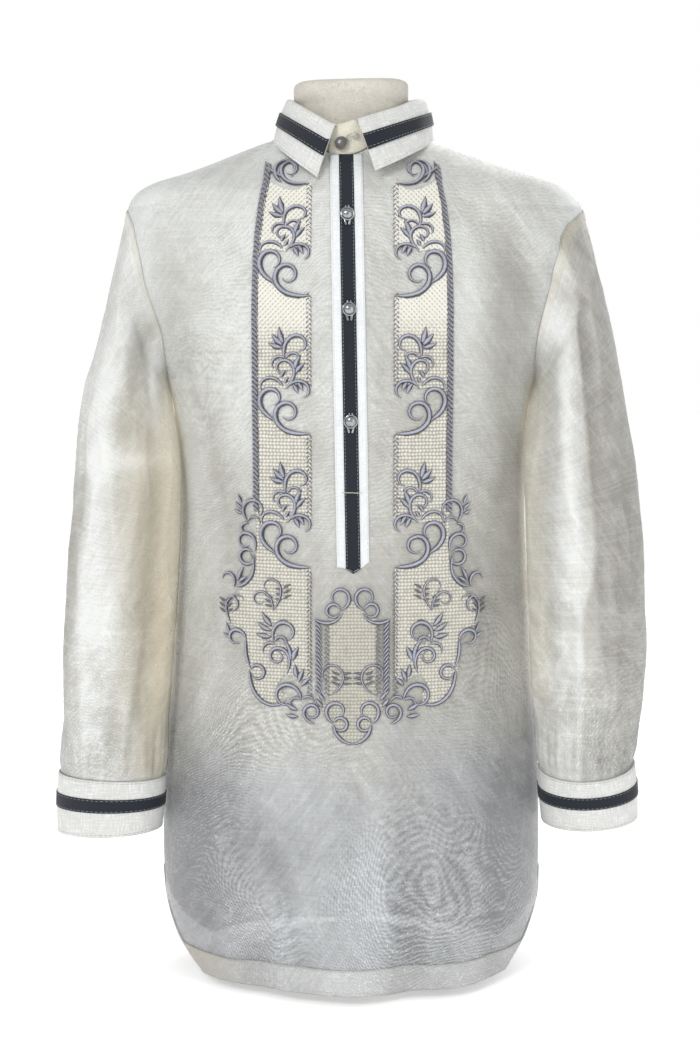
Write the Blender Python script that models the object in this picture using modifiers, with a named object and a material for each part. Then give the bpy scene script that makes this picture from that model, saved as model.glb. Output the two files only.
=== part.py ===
"""A barong tagalog shirt on a countertop dress form, for Blender 4.5.

Metres, +Z up, the shirt's front towards -Y. The origin is the centre of the base plate's underside.
Every cloth piece is a closed wall of even thickness between two sheets of points, and pieces that
are sewn together stop a hair apart at their seam.
"""

import math
from collections import namedtuple

import bmesh
import bpy
from mathutils import Matrix, Vector
from mathutils.bvhtree import BVHTree

# ---------------------------------------------------------------- driving dimensions
CLOTH = 0.0014  # wall of the shirt's panels and sleeves
CRISP = 0.0020  # wall of the interfaced collar, cuffs and placket
RIBBON = 0.0008  # thickness of the flat ribbon trim
SEAM_GAP = 0.0003  # between two pieces at a seam
ARMHOLE_GAP = 0.0005  # between a sleeve and the panels
LAID_GAP = 0.0005  # between a piece and the panel that it lies on

HEM_HEIGHT = 0.010  # lowest point of the hems above the floor
SLIT_TOP = 0.105  # height of the top of each side slit
SLIT_SWING = {"left": math.radians(30), "right": math.radians(25)}  # of its edges, at the hem
HEM_DEPTH = 0.027  # the doubled hem, which stands proud of the panel
HEM_RISE = 0.0006
UNDERARM = 0.615  # height of the armhole's lowest point
ARMHOLE_TOP = 0.785  # height of its highest point, past the shoulder's corner
FAN_START = 0.797  # rows above this height fan out towards the neckline

NECK_HALF_WIDTH = 0.066
NECK_FRONT = 0.0765
NECK_BACK = 0.066
NECK_SKEW = 0.10  # the front neckline sits higher on the right, by this much per metre across

PANEL_COLUMNS = 20  # faces across a body panel
SLEEVE_SIDES = 20  # faces round a sleeve
LEAF_FACES = 36  # along the collar's leaf

RIBBON_WIDTH = 0.0140
PLACKET_WIDTH = 0.0315
PLACKET_TOP = 0.8265
PLACKET_BOTTOM = 0.4330
PLACKET_POINT = 0.0050  # how far the ribbon's pointed end hangs below the placket
CALADO_RISE = 0.0010  # thickness of the openwork embroidery's raised field
CALADO_GAP = 0.0008  # below it, as it bridges the panel's facets

# ---------------------------------------------------------------- shape tables
Section = namedtuple("Section", "height left right front back")
# The shirt's body at each height: half widths to its left and right, depths to its front and back.
# Between the underarm and the armhole's top the widths run on, through the sleeve's head.
BODY = (
    Section(0.000, 0.1720, 0.1730, 0.1310, 0.1180),
    Section(0.043, 0.1860, 0.1870, 0.1320, 0.1190),
    Section(0.087, 0.1945, 0.1960, 0.1320, 0.1190),
    Section(0.130, 0.1965, 0.1965, 0.1310, 0.1190),
    Section(0.190, 0.1960, 0.1960, 0.1300, 0.1190),
    Section(0.236, 0.1930, 0.1930, 0.1290, 0.1180),
    Section(0.288, 0.1890, 0.1890, 0.1280, 0.1160),
    Section(0.340, 0.1860, 0.1860, 0.1275, 0.1140),
    Section(0.430, 0.1795, 0.1810, 0.1280, 0.1120),
    Section(0.492, 0.1768, 0.1785, 0.1290, 0.1130),
    Section(0.542, 0.1775, 0.1785, 0.1300, 0.1170),
    Section(0.590, 0.1820, 0.1820, 0.1305, 0.1210),
    Section(0.615, 0.1880, 0.1880, 0.1300, 0.1220),
    Section(0.640, 0.1975, 0.1975, 0.1290, 0.1220),
    Section(0.680, 0.2160, 0.2165, 0.1260, 0.1210),
    Section(0.720, 0.2300, 0.2335, 0.1210, 0.1180),
    Section(0.750, 0.2333, 0.2415, 0.1165, 0.1145),
    Section(0.775, 0.2284, 0.2372, 0.1090, 0.1090),
    Section(0.790, 0.2240, 0.2318, 0.1030, 0.1040),
    Section(0.800, 0.2170, 0.2250, 0.0985, 0.1000),
    Section(0.810, 0.2000, 0.2130, 0.0930, 0.0955),
    Section(0.820, 0.1670, 0.1860, 0.0860, 0.0905),
    Section(0.830, 0.1395, 0.1530, 0.0775, 0.0855),
    Section(0.840, 0.1140, 0.1195, 0.0725, 0.0800),
    Section(0.848, 0.0925, 0.0945, 0.0690, 0.0750),
    Section(0.857, 0.0660, 0.0660, 0.0660, 0.0705),
    Section(0.867, 0.0570, 0.0570, 0.0640, 0.0660),
)

ArmholeRow = namedtuple("ArmholeRow", "height left right")
# How far the armhole's seam lies inside the body's half width at each height, on either side.
ARMHOLE = (
    ArmholeRow(0.615, 0.0000, 0.0000),
    ArmholeRow(0.622, 0.0030, 0.0035),
    ArmholeRow(0.640, 0.0110, 0.0130),
    ArmholeRow(0.665, 0.0200, 0.0230),
    ArmholeRow(0.700, 0.0230, 0.0310),
    ArmholeRow(0.730, 0.0240, 0.0360),
    ArmholeRow(0.750, 0.0210, 0.0360),
    ArmholeRow(0.765, 0.0150, 0.0270),
    ArmholeRow(0.778, 0.0055, 0.0090),
    ArmholeRow(0.785, 0.0000, 0.0000),
)

SleeveRing = namedtuple("SleeveRing", "out_x out_z in_x in_z mid_y depth")
# Each ring of a sleeve below the armhole: its outermost and innermost points, the depth at which
# it hangs and its half depth. The last ring is the seam with the cuff.
SLEEVE = {
    "left": (
        SleeveRing(0.2352, 0.742, 0.1882, 0.606, -0.004, 0.063),
        SleeveRing(0.2408, 0.714, 0.1862, 0.596, -0.012, 0.063),
        SleeveRing(0.2488, 0.680, 0.1845, 0.582, -0.021, 0.062),
        SleeveRing(0.2578, 0.640, 0.1805, 0.562, -0.030, 0.061),
        SleeveRing(0.2672, 0.595, 0.1755, 0.535, -0.041, 0.059),
        SleeveRing(0.2735, 0.545, 0.1718, 0.505, -0.049, 0.056),
        SleeveRing(0.2778, 0.495, 0.1708, 0.470, -0.054, 0.053),
        SleeveRing(0.2830, 0.445, 0.1728, 0.435, -0.056, 0.051),
        SleeveRing(0.2862, 0.395, 0.1752, 0.395, -0.056, 0.050),
        SleeveRing(0.2888, 0.345, 0.1788, 0.345, -0.055, 0.048),
        SleeveRing(0.2908, 0.295, 0.1830, 0.295, -0.053, 0.045),
        SleeveRing(0.2925, 0.257, 0.1866, 0.254, -0.050, 0.042),
        SleeveRing(0.2940, 0.233, 0.1888, 0.229, -0.050, 0.039),
        SleeveRing(0.2955, 0.218, 0.1905, 0.213, -0.050, 0.036),
    ),
    "right": (
        SleeveRing(0.2455, 0.742, 0.1882, 0.606, -0.004, 0.063),
        SleeveRing(0.2512, 0.714, 0.1862, 0.596, -0.012, 0.063),
        SleeveRing(0.2580, 0.680, 0.1845, 0.582, -0.021, 0.062),
        SleeveRing(0.2650, 0.640, 0.1812, 0.562, -0.030, 0.061),
        SleeveRing(0.2728, 0.595, 0.1775, 0.535, -0.041, 0.059),
        SleeveRing(0.2812, 0.545, 0.1755, 0.505, -0.049, 0.056),
        SleeveRing(0.2865, 0.495, 0.1758, 0.470, -0.054, 0.053),
        SleeveRing(0.2915, 0.445, 0.1772, 0.435, -0.056, 0.051),
        SleeveRing(0.2955, 0.395, 0.1790, 0.395, -0.056, 0.050),
        SleeveRing(0.2970, 0.345, 0.1808, 0.345, -0.055, 0.048),
        SleeveRing(0.2950, 0.298, 0.1838, 0.295, -0.053, 0.045),
        SleeveRing(0.2912, 0.264, 0.1878, 0.260, -0.050, 0.042),
        SleeveRing(0.2878, 0.243, 0.1900, 0.238, -0.050, 0.039),
        SleeveRing(0.2865, 0.229, 0.1915, 0.223, -0.050, 0.036),
    ),
}

Cuff = namedtuple("Cuff", "out_x out_z in_x in_z top_dip bottom_dip")
# The cuff's lower ring, and how far the front of its upper and lower rings dips below their sides.
CUFF = {
    "left": Cuff(0.2972, 0.1565, 0.1945, 0.1605, 0.001, 0.001),
    "right": Cuff(0.2900, 0.1712, 0.1962, 0.1670, 0.012, 0.005),
}
CUFF_BAND = (0.32, 0.56)  # the ribbon's edges, as shares of the cuff's height from its top

Fold = namedtuple("Fold", "side x0 z0 x1 z1 width depth")
# The body's largest folds: soft ridges (+) and troughs (-) along a line in the front's X and Z.
FOLDS = (
    Fold("front", 0.085, 0.832, 0.172, 0.700, 0.015, -0.0055),
    Fold("front", 0.125, 0.822, 0.205, 0.735, 0.012, 0.0040),
    Fold("front", 0.160, 0.680, 0.165, 0.400, 0.022, -0.0070),
    Fold("front", -0.172, 0.650, -0.112, 0.470, 0.020, -0.0070),
    Fold("front", -0.150, 0.540, -0.152, 0.240, 0.020, 0.0050),
    Fold("front", -0.062, 0.290, -0.092, 0.010, 0.026, -0.0080),
    Fold("front", -0.012, 0.250, 0.006, 0.010, 0.026, 0.0055),
    Fold("front", 0.052, 0.290, 0.056, 0.010, 0.024, -0.0070),
    Fold("front", 0.118, 0.330, 0.112, 0.010, 0.024, 0.0065),
    Fold("back", -0.080, 0.600, -0.100, 0.010, 0.026, 0.0070),
    Fold("back", -0.020, 0.560, -0.030, 0.010, 0.026, -0.0065),
    Fold("back", 0.050, 0.580, 0.060, 0.010, 0.026, 0.0070),
    Fold("back", 0.110, 0.520, 0.120, 0.010, 0.024, -0.0055),
    Fold("back", -0.150, 0.740, -0.070, 0.620, 0.020, -0.0050),
    Fold("back", 0.150, 0.740, 0.080, 0.620, 0.020, -0.0050),
)

SleeveFold = namedtuple("SleeveFold", "turn0 z0 turn1 z1 width depth")
# The sleeves' largest folds. A turn is in degrees round the sleeve, 0 outside and 90 in front.
SLEEVE_FOLDS = {
    "left": (
        SleeveFold(112, 0.690, 80, 0.470, 17, -0.0070),
        SleeveFold(62, 0.610, 96, 0.300, 16, 0.0050),
        SleeveFold(132, 0.560, 122, 0.260, 15, -0.0055),
        SleeveFold(70, 0.340, 100, 0.225, 14, -0.0050),
        SleeveFold(250, 0.640, 265, 0.260, 18, -0.0060),
        SleeveFold(295, 0.580, 305, 0.240, 16, 0.0045),
    ),
    "right": (
        SleeveFold(72, 0.720, 84, 0.450, 15, -0.0065),
        SleeveFold(104, 0.680, 108, 0.300, 16, 0.0055),
        SleeveFold(42, 0.580, 60, 0.300, 16, -0.0055),
        SleeveFold(96, 0.340, 92, 0.215, 13, 0.0060),
        SleeveFold(250, 0.640, 265, 0.260, 18, -0.0060),
        SleeveFold(295, 0.580, 305, 0.240, 16, 0.0045),
    ),
}

CollarRow = namedtuple("CollarRow", "turn stand_rise fold_out left_x right_x edge_y edge_z")
# The collar round the neck, by degrees from the centre back: the stand's height, how far the fold
# stands out from it, and the point of the leaf's lower edge on either side.
COLLAR = (
    CollarRow(0, 0.0330, 0.0030, 0.0000, 0.0000, 0.0830, 0.8620),
    CollarRow(30, 0.0330, 0.0030, 0.0430, 0.0440, 0.0740, 0.8620),
    CollarRow(60, 0.0330, 0.0030, 0.0710, 0.0740, 0.0450, 0.8610),
    CollarRow(90, 0.0330, 0.0030, 0.0780, 0.0835, 0.0000, 0.8580),
    CollarRow(120, 0.0325, 0.0032, 0.0745, 0.0800, -0.0460, 0.8510),
    CollarRow(140, 0.0325, 0.0036, 0.0625, 0.0670, -0.0750, 0.8390),
    CollarRow(155, 0.0325, 0.0052, 0.0465, 0.0515, -0.0930, 0.8250),
    CollarRow(171, 0.0325, 0.0066, 0.0255, 0.0305, -0.1035, 0.8100),
)
LEAF_CANT = 0.14  # the leaf's points sit higher on the right, by this much per metre across
COLLAR_TURN = 4.0  # degrees that the collar sits round to the wearer's right
LEAF_END = 171  # degrees from the centre back at which the leaf's front edges lie
TAB_LAP = 15.5  # degrees past the centre front that the stand's upper end reaches
STAND_SEAT = 0.0010  # the stand's lower edge above the neckline
CROWN_GAP = 0.0007  # between the stand's top and the leaf that turns over it
STAND_LEAN = 0.0040  # how far the stand's top leans in towards the neck
LEAF_BAND = (0.30, 0.60)  # the ribbon's edges, as shares of the leaf's depth from the fold

PanelRow = namedtuple("PanelRow", "height inner outer")
# The openwork fields: each row's edges, from the placket's side outwards.
CALADO_SIDE = (
    PanelRow(0.812, 0.0395, 0.0835),
    PanelRow(0.780, 0.0400, 0.0885),
    PanelRow(0.730, 0.0400, 0.0930),
    PanelRow(0.670, 0.0400, 0.0945),
    PanelRow(0.600, 0.0400, 0.0945),
    PanelRow(0.540, 0.0400, 0.0940),
    PanelRow(0.495, 0.0400, 0.0940),
    PanelRow(0.450, 0.0405, 0.0930),
    PanelRow(0.425, 0.0405, 0.0960),
    PanelRow(0.405, 0.0410, 0.1130),
    PanelRow(0.385, 0.0410, 0.1230),
    PanelRow(0.365, 0.0410, 0.1180),
    PanelRow(0.350, 0.0410, 0.1050),
    PanelRow(0.325, 0.0410, 0.1020),
    PanelRow(0.308, 0.0480, 0.0960),
    PanelRow(0.298, 0.0620, 0.0860),
)
CALADO_CENTRE = (
    PanelRow(0.402, -0.0040, 0.0040),
    PanelRow(0.390, -0.0130, 0.0130),
    PanelRow(0.378, -0.0360, 0.0360),
    PanelRow(0.350, -0.0365, 0.0365),
    PanelRow(0.320, -0.0365, 0.0365),
    PanelRow(0.300, -0.0350, 0.0350),
    PanelRow(0.285, -0.0280, 0.0280),
    PanelRow(0.270, -0.0200, 0.0200),
    PanelRow(0.261, -0.0080, 0.0080),
)
CALADO_SHIFT = 0.0015  # the whole embroidery sits this far to the right of the centre line

BUTTON_HEIGHTS = (0.772, 0.682, 0.576)
BUTTON_RADIUS = 0.0062
BUTTON_DOME = 0.0042
CLAW_LENGTH = 0.0200
CLAW_WIDTH = 0.0080
CLAW_THICKNESS = 0.0014

FormRow = namedtuple("FormRow", "height left right front back square")
# The limbless torso, from its flat underside to the top of its neck block. A section is an ellipse
# where square is 2, and squarer above. The shirt rests on the tops of the shoulders.
FORM = (
    FormRow(0.2300, 0.1440, 0.1440, 0.0980, 0.0850, 2.0),
    FormRow(0.2345, 0.1530, 0.1530, 0.1070, 0.0940, 2.0),
    FormRow(0.2600, 0.1565, 0.1565, 0.1100, 0.0970, 2.0),
    FormRow(0.3300, 0.1570, 0.1570, 0.1100, 0.0990, 2.0),
    FormRow(0.4000, 0.1500, 0.1500, 0.1060, 0.0930, 2.0),
    FormRow(0.4600, 0.1460, 0.1460, 0.1050, 0.0900, 2.0),
    FormRow(0.5300, 0.1540, 0.1540, 0.1130, 0.0950, 2.0),
    FormRow(0.6000, 0.1660, 0.1660, 0.1190, 0.1050, 2.0),
    FormRow(0.6600, 0.1770, 0.1770, 0.1180, 0.1100, 2.0),
    FormRow(0.7150, 0.1890, 0.1900, 0.1110, 0.1080, 2.0),
    FormRow(0.7600, 0.1960, 0.2000, 0.0980, 0.0990, 2.0),
    FormRow(0.7900, 0.1980, 0.2040, 0.0890, 0.0920, 2.0),
    FormRow(0.8020, 0.1960, 0.2040, 0.0850, 0.0880, 2.0),
    FormRow(0.8095, 0.1900, 0.2020, 0.0820, 0.0850, 2.0),
    FormRow(0.8181, 0.1670, 0.1860, 0.0780, 0.0820, 2.0),
    FormRow(0.8281, 0.1395, 0.1530, 0.0720, 0.0780, 2.0),
    FormRow(0.8381, 0.1140, 0.1195, 0.0680, 0.0730, 2.0),
    FormRow(0.8461, 0.0900, 0.0920, 0.0650, 0.0670, 2.0),
    FormRow(0.8530, 0.0660, 0.0665, 0.0600, 0.0580, 2.1),
    FormRow(0.8610, 0.0585, 0.0585, 0.0580, 0.0515, 2.3),
    FormRow(0.8750, 0.0575, 0.0575, 0.0570, 0.0485, 2.3),
    FormRow(0.9030, 0.0573, 0.0573, 0.0568, 0.0480, 2.3),
    FormRow(0.9065, 0.0557, 0.0557, 0.0550, 0.0465, 2.3),
    FormRow(0.9078, 0.0525, 0.0525, 0.0520, 0.0435, 2.3),
)
FORM_SIDES = 28
BASE_RADIUS = 0.110
BASE_THICKNESS = 0.008
POLE_RADIUS = 0.0125


# ---------------------------------------------------------------- reading the tables
def smooth_value(heights, values, height):
    """The value at a height on a smooth curve through the rows, which never overshoots them."""
    if height <= heights[0]:
        return values[0]
    if height >= heights[-1]:
        return values[-1]
    k = max(i for i, h in enumerate(heights[:-1]) if h <= height)

    def slope(i):
        if i in (0, len(heights) - 1):
            return 0.0
        before = (values[i] - values[i - 1]) / (heights[i] - heights[i - 1])
        after = (values[i + 1] - values[i]) / (heights[i + 1] - heights[i])
        return 0.0 if before * after <= 0 else 2 * before * after / (before + after)

    span = heights[k + 1] - heights[k]
    t = (height - heights[k]) / span
    return (
        values[k] * (1 + 2 * t) * (1 - t) ** 2
        + slope(k) * span * t * (1 - t) ** 2
        + values[k + 1] * t * t * (3 - 2 * t)
        + slope(k + 1) * span * t * t * (t - 1)
    )


def column(rows, key, name, height):
    """A column of a table of rows at a height between them."""
    ordered = sorted(rows, key=lambda row: getattr(row, key))
    return smooth_value(
        [getattr(row, key) for row in ordered],
        [getattr(row, name) for row in ordered],
        height,
    )


def body_section(height):
    return Section(height, *(column(BODY, "height", name, height) for name in Section._fields[1:]))


# ---------------------------------------------------------------- the body's surface
def fold_rise(side, x, z):
    """How far the folds on one side raise the cloth at a place."""
    rise = 0.0
    for fold in FOLDS:
        if fold.side != side:
            continue
        along = Vector((fold.x1 - fold.x0, fold.z1 - fold.z0))
        from_start = Vector((x - fold.x0, z - fold.z0))
        share = from_start.dot(along) / along.length_squared
        off = (from_start - along * min(max(share, 0.0), 1.0)).length / fold.width
        opens = min(max((share + 0.1) / 0.6, 0.0), 1.0)  # a fold grows from its upper end
        rise += fold.depth * math.exp(-off * off) * opens * opens * (3 - 2 * opens)
    return rise


def body_point(side, turn, height):
    """The outer face of the body at an angle from the centre front or back and a height."""
    section = body_section(height)
    width = section.left if turn < 0 else section.right
    depth = section.front if side == "front" else section.back
    x = width * math.sin(turn)
    edge_fade = math.cos(turn) ** 0.5 if math.cos(turn) > 0 else 0.0
    y = depth * math.cos(turn) + fold_rise(side, x, height) * edge_fade
    return Vector((x, -y if side == "front" else y, height))


def body_normal(side, turn, height):
    """The outward direction of the body's surface."""
    step = 1e-3
    near = math.pi / 2 - step
    turn = min(max(turn, -near), near)
    across = body_point(side, turn + step, height) - body_point(side, turn - step, height)
    up = body_point(side, turn, height + step) - body_point(side, turn, height - step)
    normal = across.cross(up).normalized()
    return normal if side == "front" else -normal


def body_turn(x, height):
    """The angle at which the body's surface is at x."""
    section = body_section(height)
    width = section.left if x < 0 else section.right
    return math.asin(min(max(x / width, -1.0), 1.0))


def end_turn(hand, height):
    """The angle at which a panel ends: the slit's edge, the side seam, the armhole or the shoulder."""
    if height < SLIT_TOP:
        opened = (SLIT_TOP - height) / (SLIT_TOP - HEM_HEIGHT)
        return math.pi / 2 - SLIT_SWING[hand] * opened**1.6
    if not UNDERARM < height < ARMHOLE_TOP:
        return math.pi / 2
    width = getattr(body_section(height), hand)
    inset = column(ARMHOLE, "height", hand, height)
    return math.asin((width - inset) / width)


def neck_row(side, share):
    """The turn and height of the neckline, at a share (-1 to 1) of the way to the shoulder seam."""
    plan = share * math.pi / 2
    neck_x = NECK_HALF_WIDTH * math.sin(plan)
    depth = NECK_FRONT - NECK_SKEW * neck_x if side == "front" else NECK_BACK
    neck_y = depth * math.cos(plan)
    low, high = 0.810, 0.867
    for _ in range(40):  # halves the range until the surface passes through the neck's outline
        height = (low + high) / 2
        section = body_section(height)
        width = section.left if share < 0 else section.right
        surface = section.front if side == "front" else section.back
        inside = 1 - (neck_x / width) ** 2
        if inside > 0 and surface * math.sqrt(inside) > neck_y:
            low = height
        else:
            high = height
    return math.asin(max(min(neck_x / width, 1.0), -1.0)), height


def armhole_heights():
    """The heights of the armhole's points, shared by the panels and the sleeve."""
    middle = (ARMHOLE_TOP + UNDERARM) / 2
    half = (ARMHOLE_TOP - UNDERARM) / 2
    steps = SLEEVE_SIDES // 2
    return [middle - half * math.cos(math.pi * k / steps) for k in range(steps + 1)]


def panel_rows():
    """The heights of a body panel's rows at its side edge, from the hem up."""
    seam = HEM_HEIGHT + HEM_DEPTH
    hem = [HEM_HEIGHT, 0.022, seam, seam + 0.0005, 0.056, 0.080, SLIT_TOP]
    waist = [0.155, 0.215, 0.280, 0.345, 0.410, 0.475, 0.530, 0.578]
    return hem + waist + armhole_heights() + [FAN_START]


FAN_SHARES = (0.18, 0.37, 0.56, 0.75, 0.90, 1.0)


def panel_grid(side):
    """Rows of (turn, height) over a body panel, from the hem to the neckline."""
    shares = [2 * k / PANEL_COLUMNS - 1 for k in range(PANEL_COLUMNS + 1)]
    rows = []
    for height in panel_rows():
        row = []
        for share in shares:
            end = end_turn("left" if share < 0 else "right", height)
            if height < SLIT_TOP:
                turn = share * end
            else:
                turn = share * math.pi / 2 - (math.pi / 2 - end) * share * abs(share)
            row.append((turn, height))
        rows.append(row)
    for fan in FAN_SHARES:
        row = []
        for share in shares:
            neck_turn, neck_height = neck_row(side, share)
            start = share * math.pi / 2
            turn = start + fan * (neck_turn - start)
            row.append((turn, FAN_START + fan * (neck_height - FAN_START)))
        rows.append(row)
    return rows


# ---------------------------------------------------------------- building solids
def new_collection(name, helper=False):
    collection = bpy.data.collections.new(name)
    bpy.context.scene.collection.children.link(collection)
    collection.hide_render = helper
    return collection


def new_material(name, colour, roughness, metallic=0.0):
    material = bpy.data.materials.new(name)
    material.use_nodes = True
    shader = material.node_tree.nodes["Principled BSDF"]
    shader.inputs["Base Color"].default_value = (*colour, 1.0)
    shader.inputs["Roughness"].default_value = roughness
    shader.inputs["Metallic"].default_value = metallic
    return material


def finish_object(name, bm, material, collection):
    """Makes an object of a closed bmesh, in triangles that all point out."""
    bmesh.ops.recalc_face_normals(bm, faces=bm.faces)
    bmesh.ops.triangulate(bm, faces=bm.faces)
    mesh = bpy.data.meshes.new(name)
    bm.to_mesh(mesh)
    bm.free()
    mesh.materials.append(material)
    mesh.shade_smooth()
    mesh.set_sharp_from_angle(angle=math.radians(50))
    made = bpy.data.objects.new(name, mesh)
    collection.objects.link(made)
    return made


def loft_wall(name, outer, inner, material, collection, wrap=False):
    """A closed wall between two sheets of points, given as equal rows. wrap joins each row's ends."""
    bm = bmesh.new()
    sheets = [[[bm.verts.new(p) for p in row] for row in sheet] for sheet in (outer, inner)]
    rows, across = len(outer), len(outer[0])
    last = across if wrap else across - 1
    for sheet, order in zip(sheets, (1, -1)):
        for i in range(rows - 1):
            for j in range(last):
                k = (j + 1) % across
                corners = (sheet[i][j], sheet[i][k], sheet[i + 1][k], sheet[i + 1][j])
                bm.faces.new(corners[::order])
    top, under = sheets
    for i in (0, rows - 1):
        for j in range(last):
            k = (j + 1) % across
            bm.faces.new((top[i][j], top[i][k], under[i][k], under[i][j]))
    if not wrap:
        for j in (0, across - 1):
            for i in range(rows - 1):
                bm.faces.new((top[i][j], top[i + 1][j], under[i + 1][j], under[i][j]))
    return finish_object(name, bm, material, collection)


def loft_solid(name, rings, material, collection):
    """A closed solid through rings of points, flat at both ends."""
    bm = bmesh.new()
    loops = [[bm.verts.new(p) for p in ring] for ring in rings]
    for low, high in zip(loops, loops[1:]):
        for j in range(len(low)):
            k = (j + 1) % len(low)
            bm.faces.new((low[j], low[k], high[k], high[j]))
    bm.faces.new(loops[0][::-1])
    bm.faces.new(loops[-1])
    return finish_object(name, bm, material, collection)


def ring_inside(ring, thickness):
    """A closed ring moved in by the wall, within the plane that it lies in."""
    centre = sum(ring, Vector()) / len(ring)
    inside = []
    for j, point in enumerate(ring):
        along = (ring[(j + 1) % len(ring)] - ring[j - 1]).normalized()
        inward = centre - point
        inward -= along * inward.dot(along)
        inside.append(point + inward.normalized() * thickness)
    return inside


# ---------------------------------------------------------------- body panels
def make_panel(side, material, collection):
    """The front or back panel, one wall from hem to neckline."""
    forward = -1 if side == "front" else 1
    outer, inner = [], []
    for row in panel_grid(side):
        outer.append([])
        inner.append([])
        for turn, height in row:
            point, normal = body_point(side, turn, height), body_normal(side, turn, height)
            hem = HEM_RISE if height <= HEM_HEIGHT + HEM_DEPTH else 0.0
            for sheet, p in ((outer, point + normal * hem), (inner, point - normal * CLOTH)):
                off_seam = max(abs(p.y), SEAM_GAP / 2)  # stays on its own side of the side seam
                sheet[-1].append(Vector((p.x, forward * off_seam, p.z)))
    return loft_wall(side, outer, inner, material, collection)


# ---------------------------------------------------------------- sleeves and cuffs
def sleeve_turns():
    return [2 * math.pi * k / SLEEVE_SIDES for k in range(SLEEVE_SIDES)]


def armhole_ring(hand):
    """The sleeve's seam with the body, a hair off the panels: turn 0 at its top, then its front."""
    sign = -1 if hand == "left" else 1
    heights = armhole_heights()
    points, normals = [], []
    for k in range(SLEEVE_SIDES):
        front = k <= SLEEVE_SIDES // 2
        height = heights[-1 - k] if front else heights[k - SLEEVE_SIDES // 2]
        side = "front" if front else "back"
        turn = sign * end_turn(hand, height)
        points.append(body_point(side, turn, height))
        normals.append(body_normal(side, turn, height))
        if k in (0, SLEEVE_SIDES // 2):
            points[-1].y = normals[-1].y = 0.0
    ring = []
    for k, (point, normal) in enumerate(zip(points, normals)):
        along = points[(k + 1) % SLEEVE_SIDES] - points[k - 1]
        away = normal.cross(along).normalized() * sign  # out of the panel, within its surface
        ring.append(point + away * ARMHOLE_GAP)
    return ring


def sleeve_fold(hand, turn, height):
    """How far the sleeve's folds raise the cloth at a place."""
    rise = 0.0
    for fold in SLEEVE_FOLDS[hand]:
        share = (fold.z0 - height) / (fold.z0 - fold.z1)
        centre = fold.turn0 + (fold.turn1 - fold.turn0) * share
        off = (math.degrees(turn) - centre) / fold.width
        fade = min(max(min(share + 0.15, 1.15 - share) / 0.4, 0.0), 1.0)
        rise += fold.depth * math.exp(-off * off) * fade * fade * (3 - 2 * fade)
    return rise


def ring_points(hand, ring, dip=0.0, folded=True):
    """A sleeve's or cuff's ring, from its outermost and innermost points."""
    sign = -1 if hand == "left" else 1
    points = []
    for turn in sleeve_turns():
        x = (ring.out_x + ring.in_x) / 2 + (ring.out_x - ring.in_x) / 2 * math.cos(turn)
        z = (ring.out_z + ring.in_z) / 2 + (ring.out_z - ring.in_z) / 2 * math.cos(turn)
        rise = sleeve_fold(hand, turn, z) if folded else 0.0
        y = ring.mid_y - (ring.depth + rise) * math.sin(turn)
        x += rise * math.cos(turn)
        points.append(Vector((sign * x, y, z - dip * max(math.sin(turn), 0.0))))
    return points


def make_sleeve(hand, material, collection):
    seam = armhole_ring(hand)
    outer, inner = [seam], [ring_inside(seam, CLOTH)]
    rings = SLEEVE[hand]
    for index, ring in enumerate(rings):
        below = (len(rings) - 1 - index) / 3
        dip = CUFF[hand].top_dip * max(1 - below, 0.0)
        points = ring_points(hand, ring, dip, folded=index < len(rings) - 1)
        outer.append(points)
        inner.append(ring_inside(points, CLOTH))
    return loft_wall("sleeve_" + hand, outer, inner, material, collection, wrap=True)


def cuff_ring(hand, share, grow=0.0):
    """A ring of the cuff at a share of its height from the top, moved out by grow."""
    top, cuff = SLEEVE[hand][-1], CUFF[hand]
    ring = SleeveRing(
        top.out_x + (cuff.out_x - top.out_x) * share + grow,
        top.out_z + (cuff.out_z - top.out_z) * share - 2 * SEAM_GAP,
        top.in_x + (cuff.in_x - top.in_x) * share - grow,
        top.in_z + (cuff.in_z - top.in_z) * share - 2 * SEAM_GAP,
        top.mid_y,
        top.depth + grow,
    )
    dip = cuff.top_dip + (cuff.bottom_dip - cuff.top_dip) * share
    return ring_points(hand, ring, dip, folded=False)


def make_cuff(hand, materials, collection):
    flare = 0.0006  # the interfaced cuff stands proud of the sleeve
    outer = [cuff_ring(hand, share, flare) for share in (0.0, 0.5, 1.0)]
    inner = [ring_inside(ring, CRISP) for ring in outer]
    loft_wall("cuff_" + hand, outer, inner, materials["crisp"], collection, wrap=True)
    proud = flare + LAID_GAP
    outer = [cuff_ring(hand, share, proud + RIBBON) for share in CUFF_BAND]
    inner = [cuff_ring(hand, share, proud) for share in CUFF_BAND]
    loft_wall("cuff_ribbon_" + hand, outer, inner, materials["ribbon"], collection, wrap=True)


# ---------------------------------------------------------------- collar
def collar_side(turn, name):
    """A column of the collar's table at a turn from the centre back, either way round."""
    return column(COLLAR, "turn", name, abs(turn))


def neck_point(turn, out=0.0):
    """The neckline at a turn in degrees from the collar's centre back, moved out from its axis."""
    angle = math.radians(turn + COLLAR_TURN)
    side = "back" if math.cos(angle) > 0 else "front"
    _, height = neck_row(side, math.asin(math.sin(angle)) / (math.pi / 2))
    x = NECK_HALF_WIDTH * math.sin(angle)
    depth = NECK_BACK if side == "back" else NECK_FRONT - NECK_SKEW * x
    plan = Vector((x, depth * math.cos(angle), 0.0))
    plan += plan.normalized() * out
    return Vector((plan.x, plan.y, height))


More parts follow.
